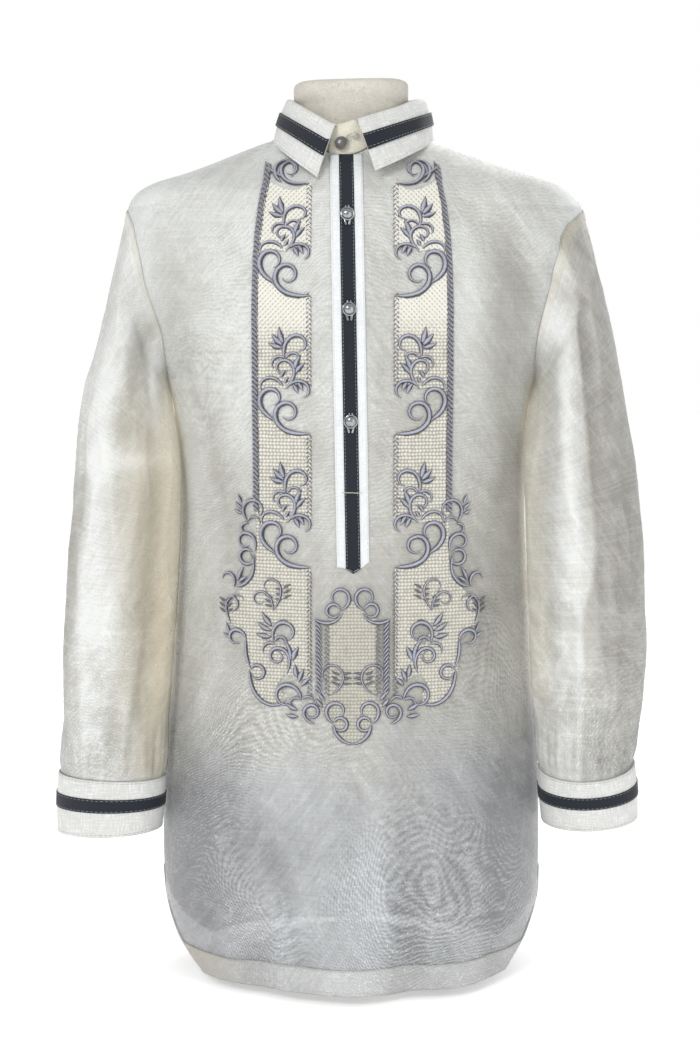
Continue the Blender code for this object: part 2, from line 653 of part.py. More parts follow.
def stand_point(turn, share, depth):
    """The stand at a share of its height and a depth in from its outer face."""
    lap = max(turn - 152.0, 0.0) / 16.0
    lapped = min(lap, 1.0) * (CRISP + 2 * SEAM_GAP)  # the upper end rides over the lower one
    base = neck_point(turn, lapped - depth - CRISP * 0.5)
    around = turn if abs(turn) <= 180 else 360 - abs(turn)
    rise = collar_side(around, "stand_rise")
    lean = Vector((base.x, base.y, 0.0)).normalized() * STAND_LEAN * share
    lift = Vector((0.0, 0.0, STAND_SEAT + rise * share))
    return base - lean + lift


def make_stand(material, collection):
    ends = LEAF_FACES // 2 + 2  # two faces past the leaf's end, under the tab
    turns = [2 * LEAF_END / LEAF_FACES * k for k in range(-ends, ends + 1)] + [180.0 + TAB_LAP]
    shares = (0.0, 0.5, 1.0)
    outer = [[stand_point(turn, share, 0.0) for turn in turns] for share in shares]
    inner = [[stand_point(turn, share, CRISP) for turn in turns] for share in shares]
    return loft_wall("collar_stand", outer, inner, material, collection)


def leaf_point(turn, share, out=0.0):
    """The collar's leaf at a share of its depth, from the fold (0) down to its lower edge (1)."""
    stand_top = neck_point(turn, -CRISP * 0.5)
    outwards = Vector((stand_top.x, stand_top.y, 0.0)).normalized()
    fold = stand_top + outwards * (collar_side(turn, "fold_out") + CRISP * 0.5 - STAND_LEAN)
    fold.z += collar_side(turn, "stand_rise") + 0.0012
    x = -collar_side(turn, "left_x") if turn < 0 else collar_side(turn, "right_x")
    edge = Vector((x, collar_side(turn, "edge_y"), collar_side(turn, "edge_z")))
    edge = Matrix.Rotation(math.radians(-COLLAR_TURN), 3, "Z") @ edge
    edge.z += LEAF_CANT * max(-edge.y / 0.05 - 1.0, 0.0) * edge.x
    bulge = outwards * 0.0040 * math.sin(math.pi * share)
    return fold.lerp(edge, share) + bulge + outwards * out


def make_leaf(materials, collection):
    turns = [LEAF_END * (2 * k / LEAF_FACES - 1) for k in range(LEAF_FACES + 1)]
    shares = (0.10, 0.30, 0.60, 1.0)
    crown = []  # the strip that turns over the stand's top
    for rise in (CROWN_GAP, CROWN_GAP + CRISP):
        row = []
        for turn in turns:
            top = neck_point(turn, -CRISP * 1.5 - STAND_LEAN)
            top.z += STAND_SEAT + collar_side(turn, "stand_rise") + rise
            row.append(top)
        crown.append(row)
    under_crown, over_crown = crown
    outer = [over_crown] + [[leaf_point(t, s, CRISP / 2) for t in turns] for s in (0.0, *shares)]
    inner = [under_crown] + [[leaf_point(t, s, -CRISP / 2) for t in turns] for s in (0.0, *shares)]
    for k in range(len(turns)):
        outer[1][k].z = max(outer[1][k].z, over_crown[k].z)
        inner[1][k].z = max(inner[1][k].z, under_crown[k].z)
    loft_wall("collar_leaf", outer, inner, materials["crisp"], collection)
    proud = CRISP / 2 + LAID_GAP * 1.2
    outer = [[leaf_point(t, s, proud + RIBBON) for t in turns] for s in LEAF_BAND]
    inner = [[leaf_point(t, s, proud) for t in turns] for s in LEAF_BAND]
    loft_wall("collar_ribbon", outer, inner, materials["ribbon"], collection)


# ---------------------------------------------------------------- what lies on the front
class LaidOn:
    """Finds points on a panel as it was built, so that what is sewn to it follows its facets."""

    def __init__(self, panel):
        mesh = panel.data
        corners = [vertex.co for vertex in mesh.vertices]
        self.tree = BVHTree.FromPolygons(corners, [face.vertices for face in mesh.polygons])

    def point(self, x, height, out):
        """The panel's outer face at a place on its front, moved out."""
        hit = self.tree.ray_cast(Vector((x, -1.0, height)), Vector((0.0, 1.0, 0.0)))[0]
        return hit + self.normal(x, height) * out

    def normal(self, x, height):
        return body_normal("front", body_turn(x, height), height)


def placket_x(height):
    """The placket's centre line, which hangs a little out of true."""
    return 0.0020 - (height - 0.440) * 0.0172


def strip_wall(name, laid, rows, low_out, thickness, columns, material, collection):
    """A wall on the front panel between each row's two edges. Rows are (height, left, right)."""
    sheets = []
    for out in (low_out + thickness, low_out):
        sheet = []
        for height, left, right in rows:
            xs = [left + (right - left) * k / columns for k in range(columns + 1)]
            sheet.append([laid.point(x, height, out) for x in xs])
        sheets.append(sheet)
    return loft_wall(name, sheets[0], sheets[1], material, collection)


def placket_heights():
    """Close together over the hollow of the neck, and further apart below it."""
    hollow = [PLACKET_TOP + (FAN_START - PLACKET_TOP) * k / 8 for k in range(8)]
    return hollow + [FAN_START + (PLACKET_BOTTOM - FAN_START) * k / 16 for k in range(17)]


def make_placket(laid, materials, collection):
    """The placket's crisp strip, with the ribbon sewn down its middle."""
    half = PLACKET_WIDTH / 2
    rows = [(z, placket_x(z) - half, placket_x(z) + half) for z in placket_heights()]
    strip_wall("placket", laid, rows, LAID_GAP, CLOTH, 4, materials["crisp"], collection)
    half = RIBBON_WIDTH / 2
    rows = [(z, placket_x(z) - half, placket_x(z) + half) for z in placket_heights()]
    tip = PLACKET_BOTTOM - PLACKET_POINT
    rows.append((tip, placket_x(tip) - 0.001, placket_x(tip) + 0.001))
    out = 2 * LAID_GAP + CLOTH
    strip_wall("placket_ribbon", laid, rows, out, RIBBON, 2, materials["ribbon"], collection)


def calado_rows(table, mirror):
    """Rows of an openwork field, closer together than the table's own."""
    heights = [row.height for row in table]
    steps = max(8, round((heights[0] - heights[-1]) / 0.016))
    rows = []
    for k in range(steps + 1):
        height = heights[0] + (heights[-1] - heights[0]) * k / steps
        inner = column(table, "height", "inner", height)
        outer = column(table, "height", "outer", height)
        edges = (-outer, -inner) if mirror else (inner, outer)
        rows.append((height, edges[0] + CALADO_SHIFT, edges[1] + CALADO_SHIFT))
    return rows


def make_calado(laid, material, collection):
    """The raised openwork fields: one each side of the placket and one below its end."""
    for name, table, mirror, columns in (
        ("calado_left", CALADO_SIDE, True, 5),
        ("calado_right", CALADO_SIDE, False, 5),
        ("calado_centre", CALADO_CENTRE, False, 4),
    ):
        rows = calado_rows(table, mirror)
        strip_wall(name, laid, rows, CALADO_GAP, CALADO_RISE, columns, material, collection)


# ---------------------------------------------------------------- buttons
def place_on(made, point, normal):
    """Stands an object modelled along +Z on a surface, its local +Y kept upright."""
    upright = Vector((0, 0, 1))
    across = upright.cross(normal).normalized()
    up = normal.cross(across)
    made.matrix_world = Matrix.Translation(point) @ Matrix((across, up, normal)).transposed().to_4x4()


def turned_mesh(name, profile, steps):
    """A turned solid's mesh from its profile, which runs down its outer side."""
    bm = bmesh.new()
    verts = [bm.verts.new((radius, 0.0, height)) for radius, height in profile]
    for a, b in zip(verts, verts[1:]):
        bm.edges.new((a, b))
    mesh = bpy.data.meshes.new(name)
    bm.to_mesh(mesh)
    bm.free()
    made = bpy.data.objects.new(name, mesh)
    bpy.context.scene.collection.objects.link(made)
    screw = made.modifiers.new("turn", "SCREW")
    screw.steps = screw.render_steps = steps
    screw.use_merge_vertices = True
    screw.merge_threshold = 0.0001
    graph = bpy.context.evaluated_depsgraph_get()
    solid = bpy.data.meshes.new_from_object(made.evaluated_get(graph))
    bpy.data.objects.remove(made)
    return solid


def dome_profile(radius, dome, rim):
    """A domed button's profile: over the dome, down the rim and under the flat base."""
    steps = 4
    arc = [
        (radius * math.sin(math.pi / 2 * k / steps), rim + dome * math.cos(math.pi / 2 * k / steps))
        for k in range(steps + 1)
    ]
    arc[0] = (0.0, rim + dome)
    return [*arc, (radius * 0.86, 0.0), (0.0, 0.0)]


def make_studs(laid, material, collection, helpers):
    """Three domed studs down the placket, each over a pointed claw setting."""
    dome = turned_mesh("stud_dome", dome_profile(BUTTON_RADIUS, BUTTON_DOME, 0.0022), 16)
    for index, height in enumerate(BUTTON_HEIGHTS, start=1):
        bm = bmesh.new()
        bmesh.ops.create_cone(
            bm, cap_ends=True, segments=4, radius1=0.5, radius2=0.42, depth=CLAW_THICKNESS
        )
        bmesh.ops.translate(bm, verts=bm.verts, vec=(0, 0, CLAW_THICKNESS / 2))
        bmesh.ops.scale(bm, verts=bm.verts, vec=(CLAW_WIDTH, CLAW_LENGTH, 1.0))
        claw = finish_object(f"stud_{index}", bm, material, collection)
        cap = bpy.data.objects.new(f"stud_{index}_dome", dome)
        cap.hide_render = True
        cap.display_type = "WIRE"
        helpers.objects.link(cap)
        x = placket_x(height)
        out = 3 * LAID_GAP + CLOTH + RIBBON
        normal = laid.normal(x, height)
        for made, lift in ((claw, 0.0), (cap, 0.0002)):
            place_on(made, laid.point(x, height, out + lift), normal)
        joined = claw.modifiers.new("dome", "BOOLEAN")
        joined.operation = "UNION"
        joined.object = cap


def make_flat_button(name, point, normal, material, collection):
    """A flat sewn button with a raised rim."""
    radius, thickness = 0.0068, 0.0026
    profile = [
        (0.0, thickness * 0.7),
        (radius * 0.66, thickness * 0.7),
        (radius * 0.82, thickness),
        (radius, thickness * 0.62),
        (radius * 0.90, 0.0),
        (0.0, 0.0),
    ]
    made = bpy.data.objects.new(name, turned_mesh(name, profile, 20))
    made.data.materials.append(material)
    made.data.shade_smooth()
    made.data.set_sharp_from_angle(angle=math.radians(40))
    collection.objects.link(made)
    place_on(made, point, normal)


def make_sewn_buttons(material, collection):
    """The collar's button, and one on the outer back of each cuff."""
    turn = 180.0 + 1.5
    point, below = stand_point(turn, 0.48, 0.0), stand_point(turn, 0.2, 0.0)
    across = stand_point(turn + 2.0, 0.48, 0.0) - point
    normal = (point - below).cross(across).normalized()
    normal = normal if normal.y < 0 else -normal
    make_flat_button("collar_button", point + normal * 0.0007, normal, material, collection)
    for hand in ("left", "right"):
        side = SLEEVE_SIDES - 3
        high, low = cuff_ring(hand, 0.72, 0.0006), cuff_ring(hand, 0.98, 0.0006)
        point = (high[side] + high[side + 1]) / 2
        normal = (high[side + 1] - high[side]).cross(low[side] - high[side]).normalized()
        outwards = point - sum(high, Vector()) / len(high)
        normal = normal if normal.dot(outwards) > 0 else -normal
        make_flat_button("cuff_button_" + hand, point + normal * 0.0005, normal, material, collection)


# ---------------------------------------------------------------- dress form and stand
def make_form(materials, collection):
    """The padded torso with its neck block, the pole under it and the round base."""
    rings = []
    for row in FORM:
        ring = []
        for k in range(FORM_SIDES):
            turn = 2 * math.pi * k / FORM_SIDES
            across, along = math.sin(turn), math.cos(turn)
            width = row.left if across < 0 else row.right
            depth = row.back if along > 0 else row.front
            x = width * math.copysign(abs(across) ** (2 / row.square), across)
            y = depth * math.copysign(abs(along) ** (2 / row.square), along)
            ring.append(Vector((x, y, row.height)))
        rings.append(ring)
    loft_solid("form_torso", rings, materials["linen"], collection)
    bm = bmesh.new()
    pole_foot = BASE_THICKNESS + SEAM_GAP
    pole_head = FORM[0].height - SEAM_GAP
    pole = pole_head - pole_foot
    bmesh.ops.create_cone(
        bm, cap_ends=True, segments=24, radius1=POLE_RADIUS, radius2=POLE_RADIUS, depth=pole
    )
    bmesh.ops.translate(bm, verts=bm.verts, vec=(0, 0, pole_foot + pole / 2))
    finish_object("form_pole", bm, materials["metal"], collection)
    edge = 0.0025
    profile = [
        (0.0, BASE_THICKNESS),
        (BASE_RADIUS - 2 * edge, BASE_THICKNESS),
        (BASE_RADIUS, BASE_THICKNESS - edge),
        (BASE_RADIUS, 0.0),
        (0.0, 0.0),
    ]
    base = bpy.data.objects.new("form_base", turned_mesh("form_base", profile, 48))
    base.data.materials.append(materials["metal"])
    collection.objects.link(base)


def main():
    for old in list(bpy.data.objects):
        bpy.data.objects.remove(old)
    parts = new_collection("barong_on_form")
    helpers = new_collection("helpers", helper=True)
    materials = {
        "sheer": new_material("sheer", (0.84, 0.83, 0.78), 0.45),
        "crisp": new_material("crisp", (0.86, 0.85, 0.81), 0.5),
        "ribbon": new_material("ribbon", (0.018, 0.024, 0.042), 0.5),
        "calado": new_material("calado", (0.80, 0.77, 0.68), 0.7),
        "stud": new_material("stud", (0.55, 0.56, 0.56), 0.15, 1.0),
        "shell": new_material("shell", (0.28, 0.26, 0.24), 0.3),
        "linen": new_material("linen", (0.66, 0.62, 0.55), 0.9),
        "metal": new_material("metal", (0.78, 0.78, 0.77), 0.4, 0.6),
    }
    front = make_panel("front", materials["sheer"], parts)
    make_panel("back", materials["sheer"], parts)
    laid = LaidOn(front)
    for hand in ("left", "right"):
        make_sleeve(hand, materials["sheer"], parts)
        make_cuff(hand, materials, parts)
    make_stand(materials["crisp"], parts)
    make_leaf(materials, parts)
    make_placket(laid, materials, parts)
    make_calado(laid, materials["calado"], parts)
    make_studs(laid, materials["stud"], parts, helpers)
    make_sewn_buttons(materials["shell"], parts)
    make_form(materials, parts)


main()
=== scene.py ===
# %% [markdown]
# # A barong tagalog shirt on a dress form
#
# The formal shirt of the Philippines is of sheer, crisp cloth with an embroidered front. Sheer cloth
# is hard to fake with paint alone, so every piece is a sheet with its own folds over a linen form.
#
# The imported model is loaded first, because it fixes every size. Each piece is then made over the
# solid that it stands for, and the same tables of measures give both their shape.

import math
from collections import namedtuple
from functools import lru_cache

import bmesh
import bpy
from mathutils import Matrix, Vector, noise


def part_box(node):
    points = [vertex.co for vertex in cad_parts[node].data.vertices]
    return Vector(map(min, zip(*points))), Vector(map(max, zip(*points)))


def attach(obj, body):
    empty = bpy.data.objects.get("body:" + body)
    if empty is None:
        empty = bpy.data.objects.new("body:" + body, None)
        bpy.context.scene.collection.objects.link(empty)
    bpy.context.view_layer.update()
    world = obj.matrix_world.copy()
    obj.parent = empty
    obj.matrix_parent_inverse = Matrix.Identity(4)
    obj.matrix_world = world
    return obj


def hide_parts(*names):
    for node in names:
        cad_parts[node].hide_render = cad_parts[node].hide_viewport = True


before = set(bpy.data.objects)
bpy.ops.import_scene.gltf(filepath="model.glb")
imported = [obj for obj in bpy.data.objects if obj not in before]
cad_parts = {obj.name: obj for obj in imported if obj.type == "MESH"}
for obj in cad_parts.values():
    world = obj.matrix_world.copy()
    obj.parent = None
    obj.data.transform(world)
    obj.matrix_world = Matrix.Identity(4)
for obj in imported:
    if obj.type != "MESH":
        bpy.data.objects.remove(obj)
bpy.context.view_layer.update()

# %% [markdown]
# ## Camera and studio
#
# Sheer white cloth needs a soft light, or its folds burn out. A pale surround does most of it, and a
# large lamp up to the left gives the folds their direction. The camera sees the surround full white,
# but it lights the cloth less, so that hollows stay grey. The standard view transform keeps white
# cloth white, where the default one would grey it.

# %% Camera
PICTURE_HEIGHT = 1050  # pixels on the picture's long side
FOCAL_PIXELS = 1800
CAMERA_DISTANCE = 1.85
CAMERA_HEIGHT = 0.6531
CAMERA_PITCH = math.radians(5.868)

camera = bpy.data.objects.new("camera", bpy.data.cameras.new("camera"))
bpy.context.scene.collection.objects.link(camera)
camera.data.sensor_width = 36.0
camera.data.lens = 36.0 * FOCAL_PIXELS / PICTURE_HEIGHT
camera.data.shift_x = -1 / PICTURE_HEIGHT
camera.location = (0.0, -CAMERA_DISTANCE, CAMERA_HEIGHT)
camera.rotation_euler = (math.pi / 2 - CAMERA_PITCH, 0.0, 0.0)
bpy.context.scene.camera = camera
bpy.context.scene.view_settings.view_transform = "Standard"
print("camera lens", round(camera.data.lens, 2), "mm")

# %% Lights
Lamp = namedtuple("Lamp", "name x y z size power")
LAMPS = (
    Lamp("key", -1.2, -2.3, 2.2, 1.0, 30.0),
    Lamp("fill", 2.0, -1.9, 1.2, 1.6, 8.0),
    Lamp("rim", 0.9, 2.2, 1.9, 1.5, 24.0),
)
AIM = Vector((0.0, 0.0, 0.5))

for lamp in LAMPS:
    light = bpy.data.lights.new(lamp.name, "AREA")
    light.size = lamp.size
    light.energy = lamp.power
    lit = bpy.data.objects.new(lamp.name, light)
    bpy.context.scene.collection.objects.link(lit)
    lit.location = (lamp.x, lamp.y, lamp.z)
    lit.rotation_euler = (AIM - lit.location).to_track_quat("-Z", "Y").to_euler()

SURROUND = 0.66  # how brightly the surround lights the shirt, where 1 is full white
world = bpy.data.worlds.new("studio")
world.use_nodes = True
nodes, links = world.node_tree.nodes, world.node_tree.links
seen = nodes.new("ShaderNodeLightPath")
strength = nodes.new("ShaderNodeMapRange")
strength.inputs["To Min"].default_value = SURROUND
strength.inputs["To Max"].default_value = 1.0
links.new(seen.outputs["Is Camera Ray"], strength.inputs["Value"])
links.new(strength.outputs["Result"], nodes["Background"].inputs["Strength"])
nodes["Background"].inputs["Color"].default_value = (1.0, 1.0, 1.0, 1.0)
bpy.context.scene.world = world
print(len(LAMPS), "lamps and a white surround")

# %% [markdown]
# ## Helpers for materials
#
# A cloth's look is a formula: threads, slubs and ripples added together. `Value` wraps a shader
# socket so that Python's own signs add the Math nodes, and `Paint` holds one material while its
# formula is written.


# %% Shader arithmetic
class Value:
    """A number on a shader socket that takes part in sums."""

    def __init__(self, paint, socket):
        self.paint = paint
        self.socket = socket

    def maths(self, operation, *numbers, clamp=False):
        settings = {"operation": operation, "use_clamp": clamp}
        return self.paint.node("ShaderNodeMath", settings, dict(enumerate(numbers)))

    def __add__(self, other):
        return self.maths("ADD", self, other)

    def __sub__(self, other):
        return self.maths("SUBTRACT", self, other)

    def __rsub__(self, other):
        return self.maths("SUBTRACT", other, self)

    def __mul__(self, other):
        return self.maths("MULTIPLY", self, other)

    def __pow__(self, other):
        return self.maths("POWER", self, other)

    __radd__ = __add__
    __rmul__ = __mul__

    def wave(self):
        """Its sine, in radians."""
        return self.maths("SINE", self)

    def size(self):
        """Its size without its sign."""
        return self.maths("ABSOLUTE", self)

    def held(self):
        """The number kept between 0 and 1."""
        return self.maths("ADD", self, 0.0, clamp=True)

    def over(self, low, high):
        """A soft step from 0 below low to 1 above high."""
        settings = {"interpolation_type": "SMOOTHSTEP"}
        values = {"Value": self, "From Min": low, "From Max": high}
        return self.paint.node("ShaderNodeMapRange", settings, values)


class Paint:
    """A material while its formula is written."""

    def __init__(self, name, constants):
        self.material = bpy.data.materials.new(name)
        self.material.use_nodes = True
        self.tree = self.material.node_tree
        self.shader = self.tree.nodes["Principled BSDF"]
        for socket, value in constants.items():
            self.shader.inputs[socket].default_value = value

    def node(self, kind, settings, values, out=0):
        """Adds a node: its settings first, then a number, colour or link for each socket."""
        made = self.tree.nodes.new(kind)
        for name, value in settings.items():
            setattr(made, name, value)
        for socket, value in values.items():
            if isinstance(value, Value):
                self.tree.links.new(value.socket, made.inputs[socket])
            else:
                made.inputs[socket].default_value = value
        return Value(self, made.outputs[out])

    def place(self):
        """Where a point is in the object, in metres."""
        return self.node("ShaderNodeTexCoord", {}, {}, "Object")

    def cloth(self):
        """Where a point is on the flat cloth, in metres."""
        return self.node("ShaderNodeTexCoord", {}, {}, "UV")

    def axis(self, where, name):
        return self.node("ShaderNodeSeparateXYZ", {}, {0: where}, name)

    def stretched(self, where, scale):
        return self.node("ShaderNodeMapping", {}, {"Vector": where, "Scale": scale})

    def cloud(self, where, scale, detail=2.0, twist=0.0):
        """A soft random number between 0 and 1, in swirls where it is given a twist."""
        values = {"Vector": where, "Scale": scale, "Detail": detail, "Distortion": twist}
        return self.node("ShaderNodeTexNoise", {}, values)

    def mix(self, share, first, second):
        """A colour between two colours."""
        settings = {"data_type": "RGBA"}
        return self.node("ShaderNodeMix", settings, {0: share, 6: first, 7: second}, 2)

    def stored(self, name):
        """A number that the mesh keeps at each of its points."""
        return self.node("ShaderNodeAttribute", {"attribute_name": name}, {}, "Fac")

    def threads(self, cloth, across, along, detail=2.0):
        """Uneven threads: a cloud drawn out one way of the flat cloth."""
        return self.cloud(self.stretched(cloth, (across, along, 1.0)), 1.0, detail)

    def bump(self, height, depth, strength=1.0):
        """A normal from a height between 0 and 1 that stands for a depth in metres."""
        values = {"Height": height, "Distance": depth, "Strength": strength}
        return self.node("ShaderNodeBump", {}, values)

    def feed(self, base, roughness, normal=None, **others):
        """Links the values to the shader's sockets. An underscore stands for a space."""
        values = {"Base Color": base, "Roughness": roughness, "Normal": normal}
        values |= {name.replace("_", " "): value for name, value in others.items()}
        for socket, value in values.items():
            if value:
                self.tree.links.new(value.socket, self.shader.inputs[socket])
        return self.material


def colour(red, green, blue):
    """A colour of 0 to 255 a channel, as a screen shows it, in the shader's own light units."""

    def linear(channel):
        share = channel / 255
        return share / 12.92 if share <= 0.04045 else ((share + 0.055) / 1.055) ** 2.4

    return (linear(red), linear(green), linear(blue), 1.0)


TAU = 2 * math.pi
print("helpers ready")

# %% [markdown]
# ## The sheer cloth
#
# Organza is woven from fine, hard fibres with as much air as thread, so it is part see-through. Its
# fibres are uneven: thicker ones, called slubs, run across as faint streaks. Where two layers lie
# one over the other their threads beat together in watered rings. A ripple warped by a soft cloud
# gives those rings, and the same numbers drive the colour, the gloss and how much shows through.
# The cloth's light and shade are painted into its colour too: a share of light is kept at each of its
# points, and sheen, highlights and glints are painted over it.


# %% Sheer cloth
# Painted light and shade: each cloth has a shaded, a middle and a lit copy of its colour, and the light
# stored at each point picks between them. slub is the colour of its thick threads.
Tones = namedtuple("Tones", "dark middle light slub")

# Painted shade: below the form nothing pale lies behind the cloth, so low down its colour is mixed
# towards a cool grey, darker or paler with the stored light.
SKIRT_SHADE_ENDS = (colour(120, 122, 130), colour(232, 238, 246))
# Painted light: the cloth is made to glow in this warm colour where sleeve and body meet.
SEEP = colour(204, 190, 158)  # light that comes warm through two layers where they meet
NO_LIGHT = (0.0, 0.0, 0.0, 1.0)
THREAD_PITCH = 0.0008


def sheer_material(name, tones, cover, gloss, wavy):
    """Sheer cloth. cover is how much it hides, and wavy how strongly its threads beat in rings."""
    constants = {"Sheen Weight": 0.20, "Sheen Roughness": 0.35, "Specular IOR Level": 0.9}
    paint = Paint(name, {**constants, "Emission Strength": 1.0})
    cloth = paint.cloth()
    place = paint.place()
    height = paint.axis(place, "Z")
    side = paint.axis(place, "X")
    # Painted light: the share of light stored at each point, from 0 in a hollow to 1 on a ridge.
    painted_light = paint.stored("painted_light")
    seep = paint.stored("seep")
    # Handling marks, with painted sheen and highlights: a soft cloud of random tone, silky streaks of
    # painted sheen that fan out from the neck, and bright creases, whose brightness is a painted
    # highlight.
    soft = paint.cloud(paint.stretched(place, (1.0, 1.0, 0.7)), 9.0, 2.0)
    worn = paint.cloud(paint.stretched(place, (1.0, 1.0, 0.6)), 34.0, 4.0, 1.6)
    silk = paint.cloud(place, 120.0, 2.0, 2.5)
    fan = {"X": side.size() * 0.8 + height * 0.6, "Y": side * 6.0}
    fan["Z"] = height * 0.8 - side.size() * 0.6
    fan = paint.node("ShaderNodeCombineXYZ", {}, fan)
    streaks = paint.cloud(paint.stretched(fan, (120.0, 1.0, 16.0)), 1.0, 3.0)
    lines = (1.0 - ((worn - 0.5) * 16.0).size()).held() ** 2.0
    streak_highlight = (1.0 - ((streaks - 0.5) * 13.0).size()).held() ** 2.0
    # Threads: fine weft and warp lines, and a few thick brown slubs.
    weft = paint.threads(cloth, 24.0, 840.0)
    ends = paint.threads(cloth, 900.0, 30.0)
    lay = paint.threads(cloth, 5.0, 430.0)
    slubs = paint.threads(cloth, 5.0, 210.0).over(0.62, 0.78)
    # Watered rings: the contour lines of a slow cloud.
    warp = paint.cloud(paint.stretched(place, (1.0, 1.0, 0.8)), 4.6, 1.5)
    rings = (height * 1000.0 + side * 240.0 + warp * 760.0).wave()
    close = (height * 1650.0 - side * 300.0 + warp * 500.0 + worn * 22.0 + silk * 3.0).wave()
    skirt = height.over(0.44, 0.24)
    patches = paint.cloud(place, 6.5, 1.0).over(0.32, 0.58) * (skirt * 0.4 + 0.6)
    watered = (rings * (skirt * 0.38 + 0.12) + close * 0.48) * patches * wavy
    # Painted highlights: small glints, most in the skirt's watered patches, on the bright creases and
    # where the stored light is high.
    lit = painted_light.over(0.50, 1.0) * 0.5
    glints = paint.cloud(place, 700.0, 1.0).over(0.58, 0.70) * (patches * skirt + lines * 0.4 + lit)
    # The shade is painted light and shade: the stored light with painted sheen, highlights and glints,
    # plus random tone, threads and watered rings.
    shade = painted_light - 0.03 + (soft - 0.5) * 0.10 + lines * 0.05 + streak_highlight * 0.09
    shade = shade + (streaks - 0.5) * 0.16 + (weft - 0.5) * 0.24 + (ends - 0.5) * 0.10
    shade = shade + (silk - 0.5) * 0.24 + (lay - 0.5) * (0.40 - 0.22 * wavy)
    shade = shade + watered * 0.24 + glints * 0.40
    # Painted light and shade: the shade picks between the shaded, middle and lit copies of the colour.
    base = paint.mix((shade * 2.0).held(), tones.dark, tones.middle)
    base = paint.mix((shade * 2.0 - 1.0).held(), base, tones.light)
    # Painted shade: low on the cloth the colour turns to the skirt's cool grey.
    skirt_shade = (height + (soft - 0.5) * 0.25).over(0.31, 0.17) * wavy * 0.65
    base = paint.mix(skirt_shade, base, paint.mix(shade.held(), *SKIRT_SHADE_ENDS))
    base = paint.mix(slubs * 0.30, base, tones.slub)
    # Painted light: warm light through the layers where the left sleeve lies against the body, above
    # the elbow, tints the cloth towards the slub colour, most on the sleeve.
    inner = side.over(-0.25, -0.19) * side.over(-0.10, -0.15) * (1.0 - wavy)
    base = paint.mix(inner * height.over(0.66, 0.52), base, tones.slub)
    alpha = cover + (soft - 0.5) * 0.10 + slubs * 0.06
    warp_waves = (paint.axis(cloth, "X") * (TAU / THREAD_PITCH)).wave()
    weave = warp_waves * (paint.axis(cloth, "Y") * (TAU / THREAD_PITCH)).wave()
    relief = worn * 0.60 + streaks * 0.40 + silk * 0.16 + weave * 0.03 + weft * 0.08
    return paint.feed(
        base,
        (gloss + (soft - 0.5) * 0.22 - lines * 0.05).held(),
        paint.bump(relief, 0.0050, 0.7),
        # Painted light: a warm glow where sleeve and body meet.
        Emission_Color=paint.mix(seep * 0.20, NO_LIGHT, SEEP),
        Alpha=alpha.held(),
    )


# Painted light and shade: the shaded, middle and lit copies of each sheer cloth's colour, and its slub
# colour.
BODY_TONES = Tones(
    colour(142, 141, 134), colour(189, 188, 181), colour(236, 239, 236), colour(176, 152, 128)
)
SLEEVE_TONES = Tones(
    colour(150, 148, 140), colour(198, 197, 190), colour(242, 244, 242), colour(192, 178, 142)
)
HEM_TONES = Tones(
    colour(156, 156, 152), colour(204, 204, 199), colour(242, 243, 240), colour(196, 184, 166)
)
SEAM_TONES = Tones(
    colour(158, 151, 134), colour(202, 198, 184), colour(232, 231, 222), colour(186, 164, 130)
)
sheer = sheer_material("sheer", BODY_TONES, 0.92, 0.27, 1.0)
sheer_sleeve = sheer_material("sheer_sleeve", SLEEVE_TONES, 0.93, 0.24, 0.5)
sheer_seam = sheer_material("sheer_seam", SEAM_TONES, 0.96, 0.40, 0.9)
sheer_hem = sheer_material("sheer_hem", HEM_TONES, 0.96, 0.38, 0.5)
print("sheer cloth ready")

# %% [markdown]
# ## The crisp cloth
#
# Collar, cuffs and placket are the same cloth over a woven interlining, so nothing shows through
# and the slubs stand out as small raised flecks. Only the bump and a faint change of tone tell them
# from card.


# %% Crisp cloth
def crisp_material(name, light, dark):
    constants = {"Sheen Weight": 0.15, "Sheen Roughness": 0.5, "Specular IOR Level": 0.4}
    paint = Paint(name, constants)
    cloth = paint.cloth()
    weft = paint.threads(cloth, 90.0, 900.0)
    warp = paint.threads(cloth, 1000.0, 70.0)
    soft = paint.cloud(cloth, 40.0, 3.0)
    threads = weft * 0.5 + warp * 0.5
    flecks = threads.over(0.46, 0.66)
    base = paint.mix((soft * 0.45 + flecks * 0.55 + (threads - 0.5) * 0.6).held(), dark, light)
    roughness = (0.62 - flecks * 0.18).held()
    return paint.feed(base, roughness, paint.bump(threads, 0.0006, 0.5))


crisp = crisp_material("crisp", colour(238, 239, 236), colour(200, 201, 198))
crisp_white = crisp_material("crisp_white", colour(240, 243, 244), colour(216, 220, 222))
crisp_ivory = crisp_material("crisp_ivory", colour(240, 237, 222), colour(216, 211, 192))
print("crisp cloth ready")

# %% [markdown]
# ## Ribbon, threads and openwork
#
# The ribbon is a dark twill: fine slanting ribs with a dull gloss. Embroidery thread is laid side
# by side in satin stitch, so each raised stroke is striped across and shines along its crown. The
# openwork is a heavier, cream cotton: its holes are drawn out of the cloth, and the pads between
# them catch the light.


# %% Ribbon, thread and openwork finishes
def ribbon_material():
    paint = Paint("ribbon", {"Sheen Weight": 0.08, "Specular IOR Level": 0.3})
    cloth = paint.cloth()
    across = paint.axis(cloth, "X")
    along = paint.axis(cloth, "Y")
    ribs = ((across + along) * (TAU / 0.0011)).wave() * 0.5 + 0.5
    worn = paint.cloud(cloth, 60.0, 3.0)
    base = paint.mix((ribs * 0.4 + worn * 0.45).held(), colour(14, 19, 29), colour(36, 43, 54))
    roughness = (0.48 + worn * 0.2).held()
    return paint.feed(base, roughness, paint.bump(ribs, 0.0003, 0.6))


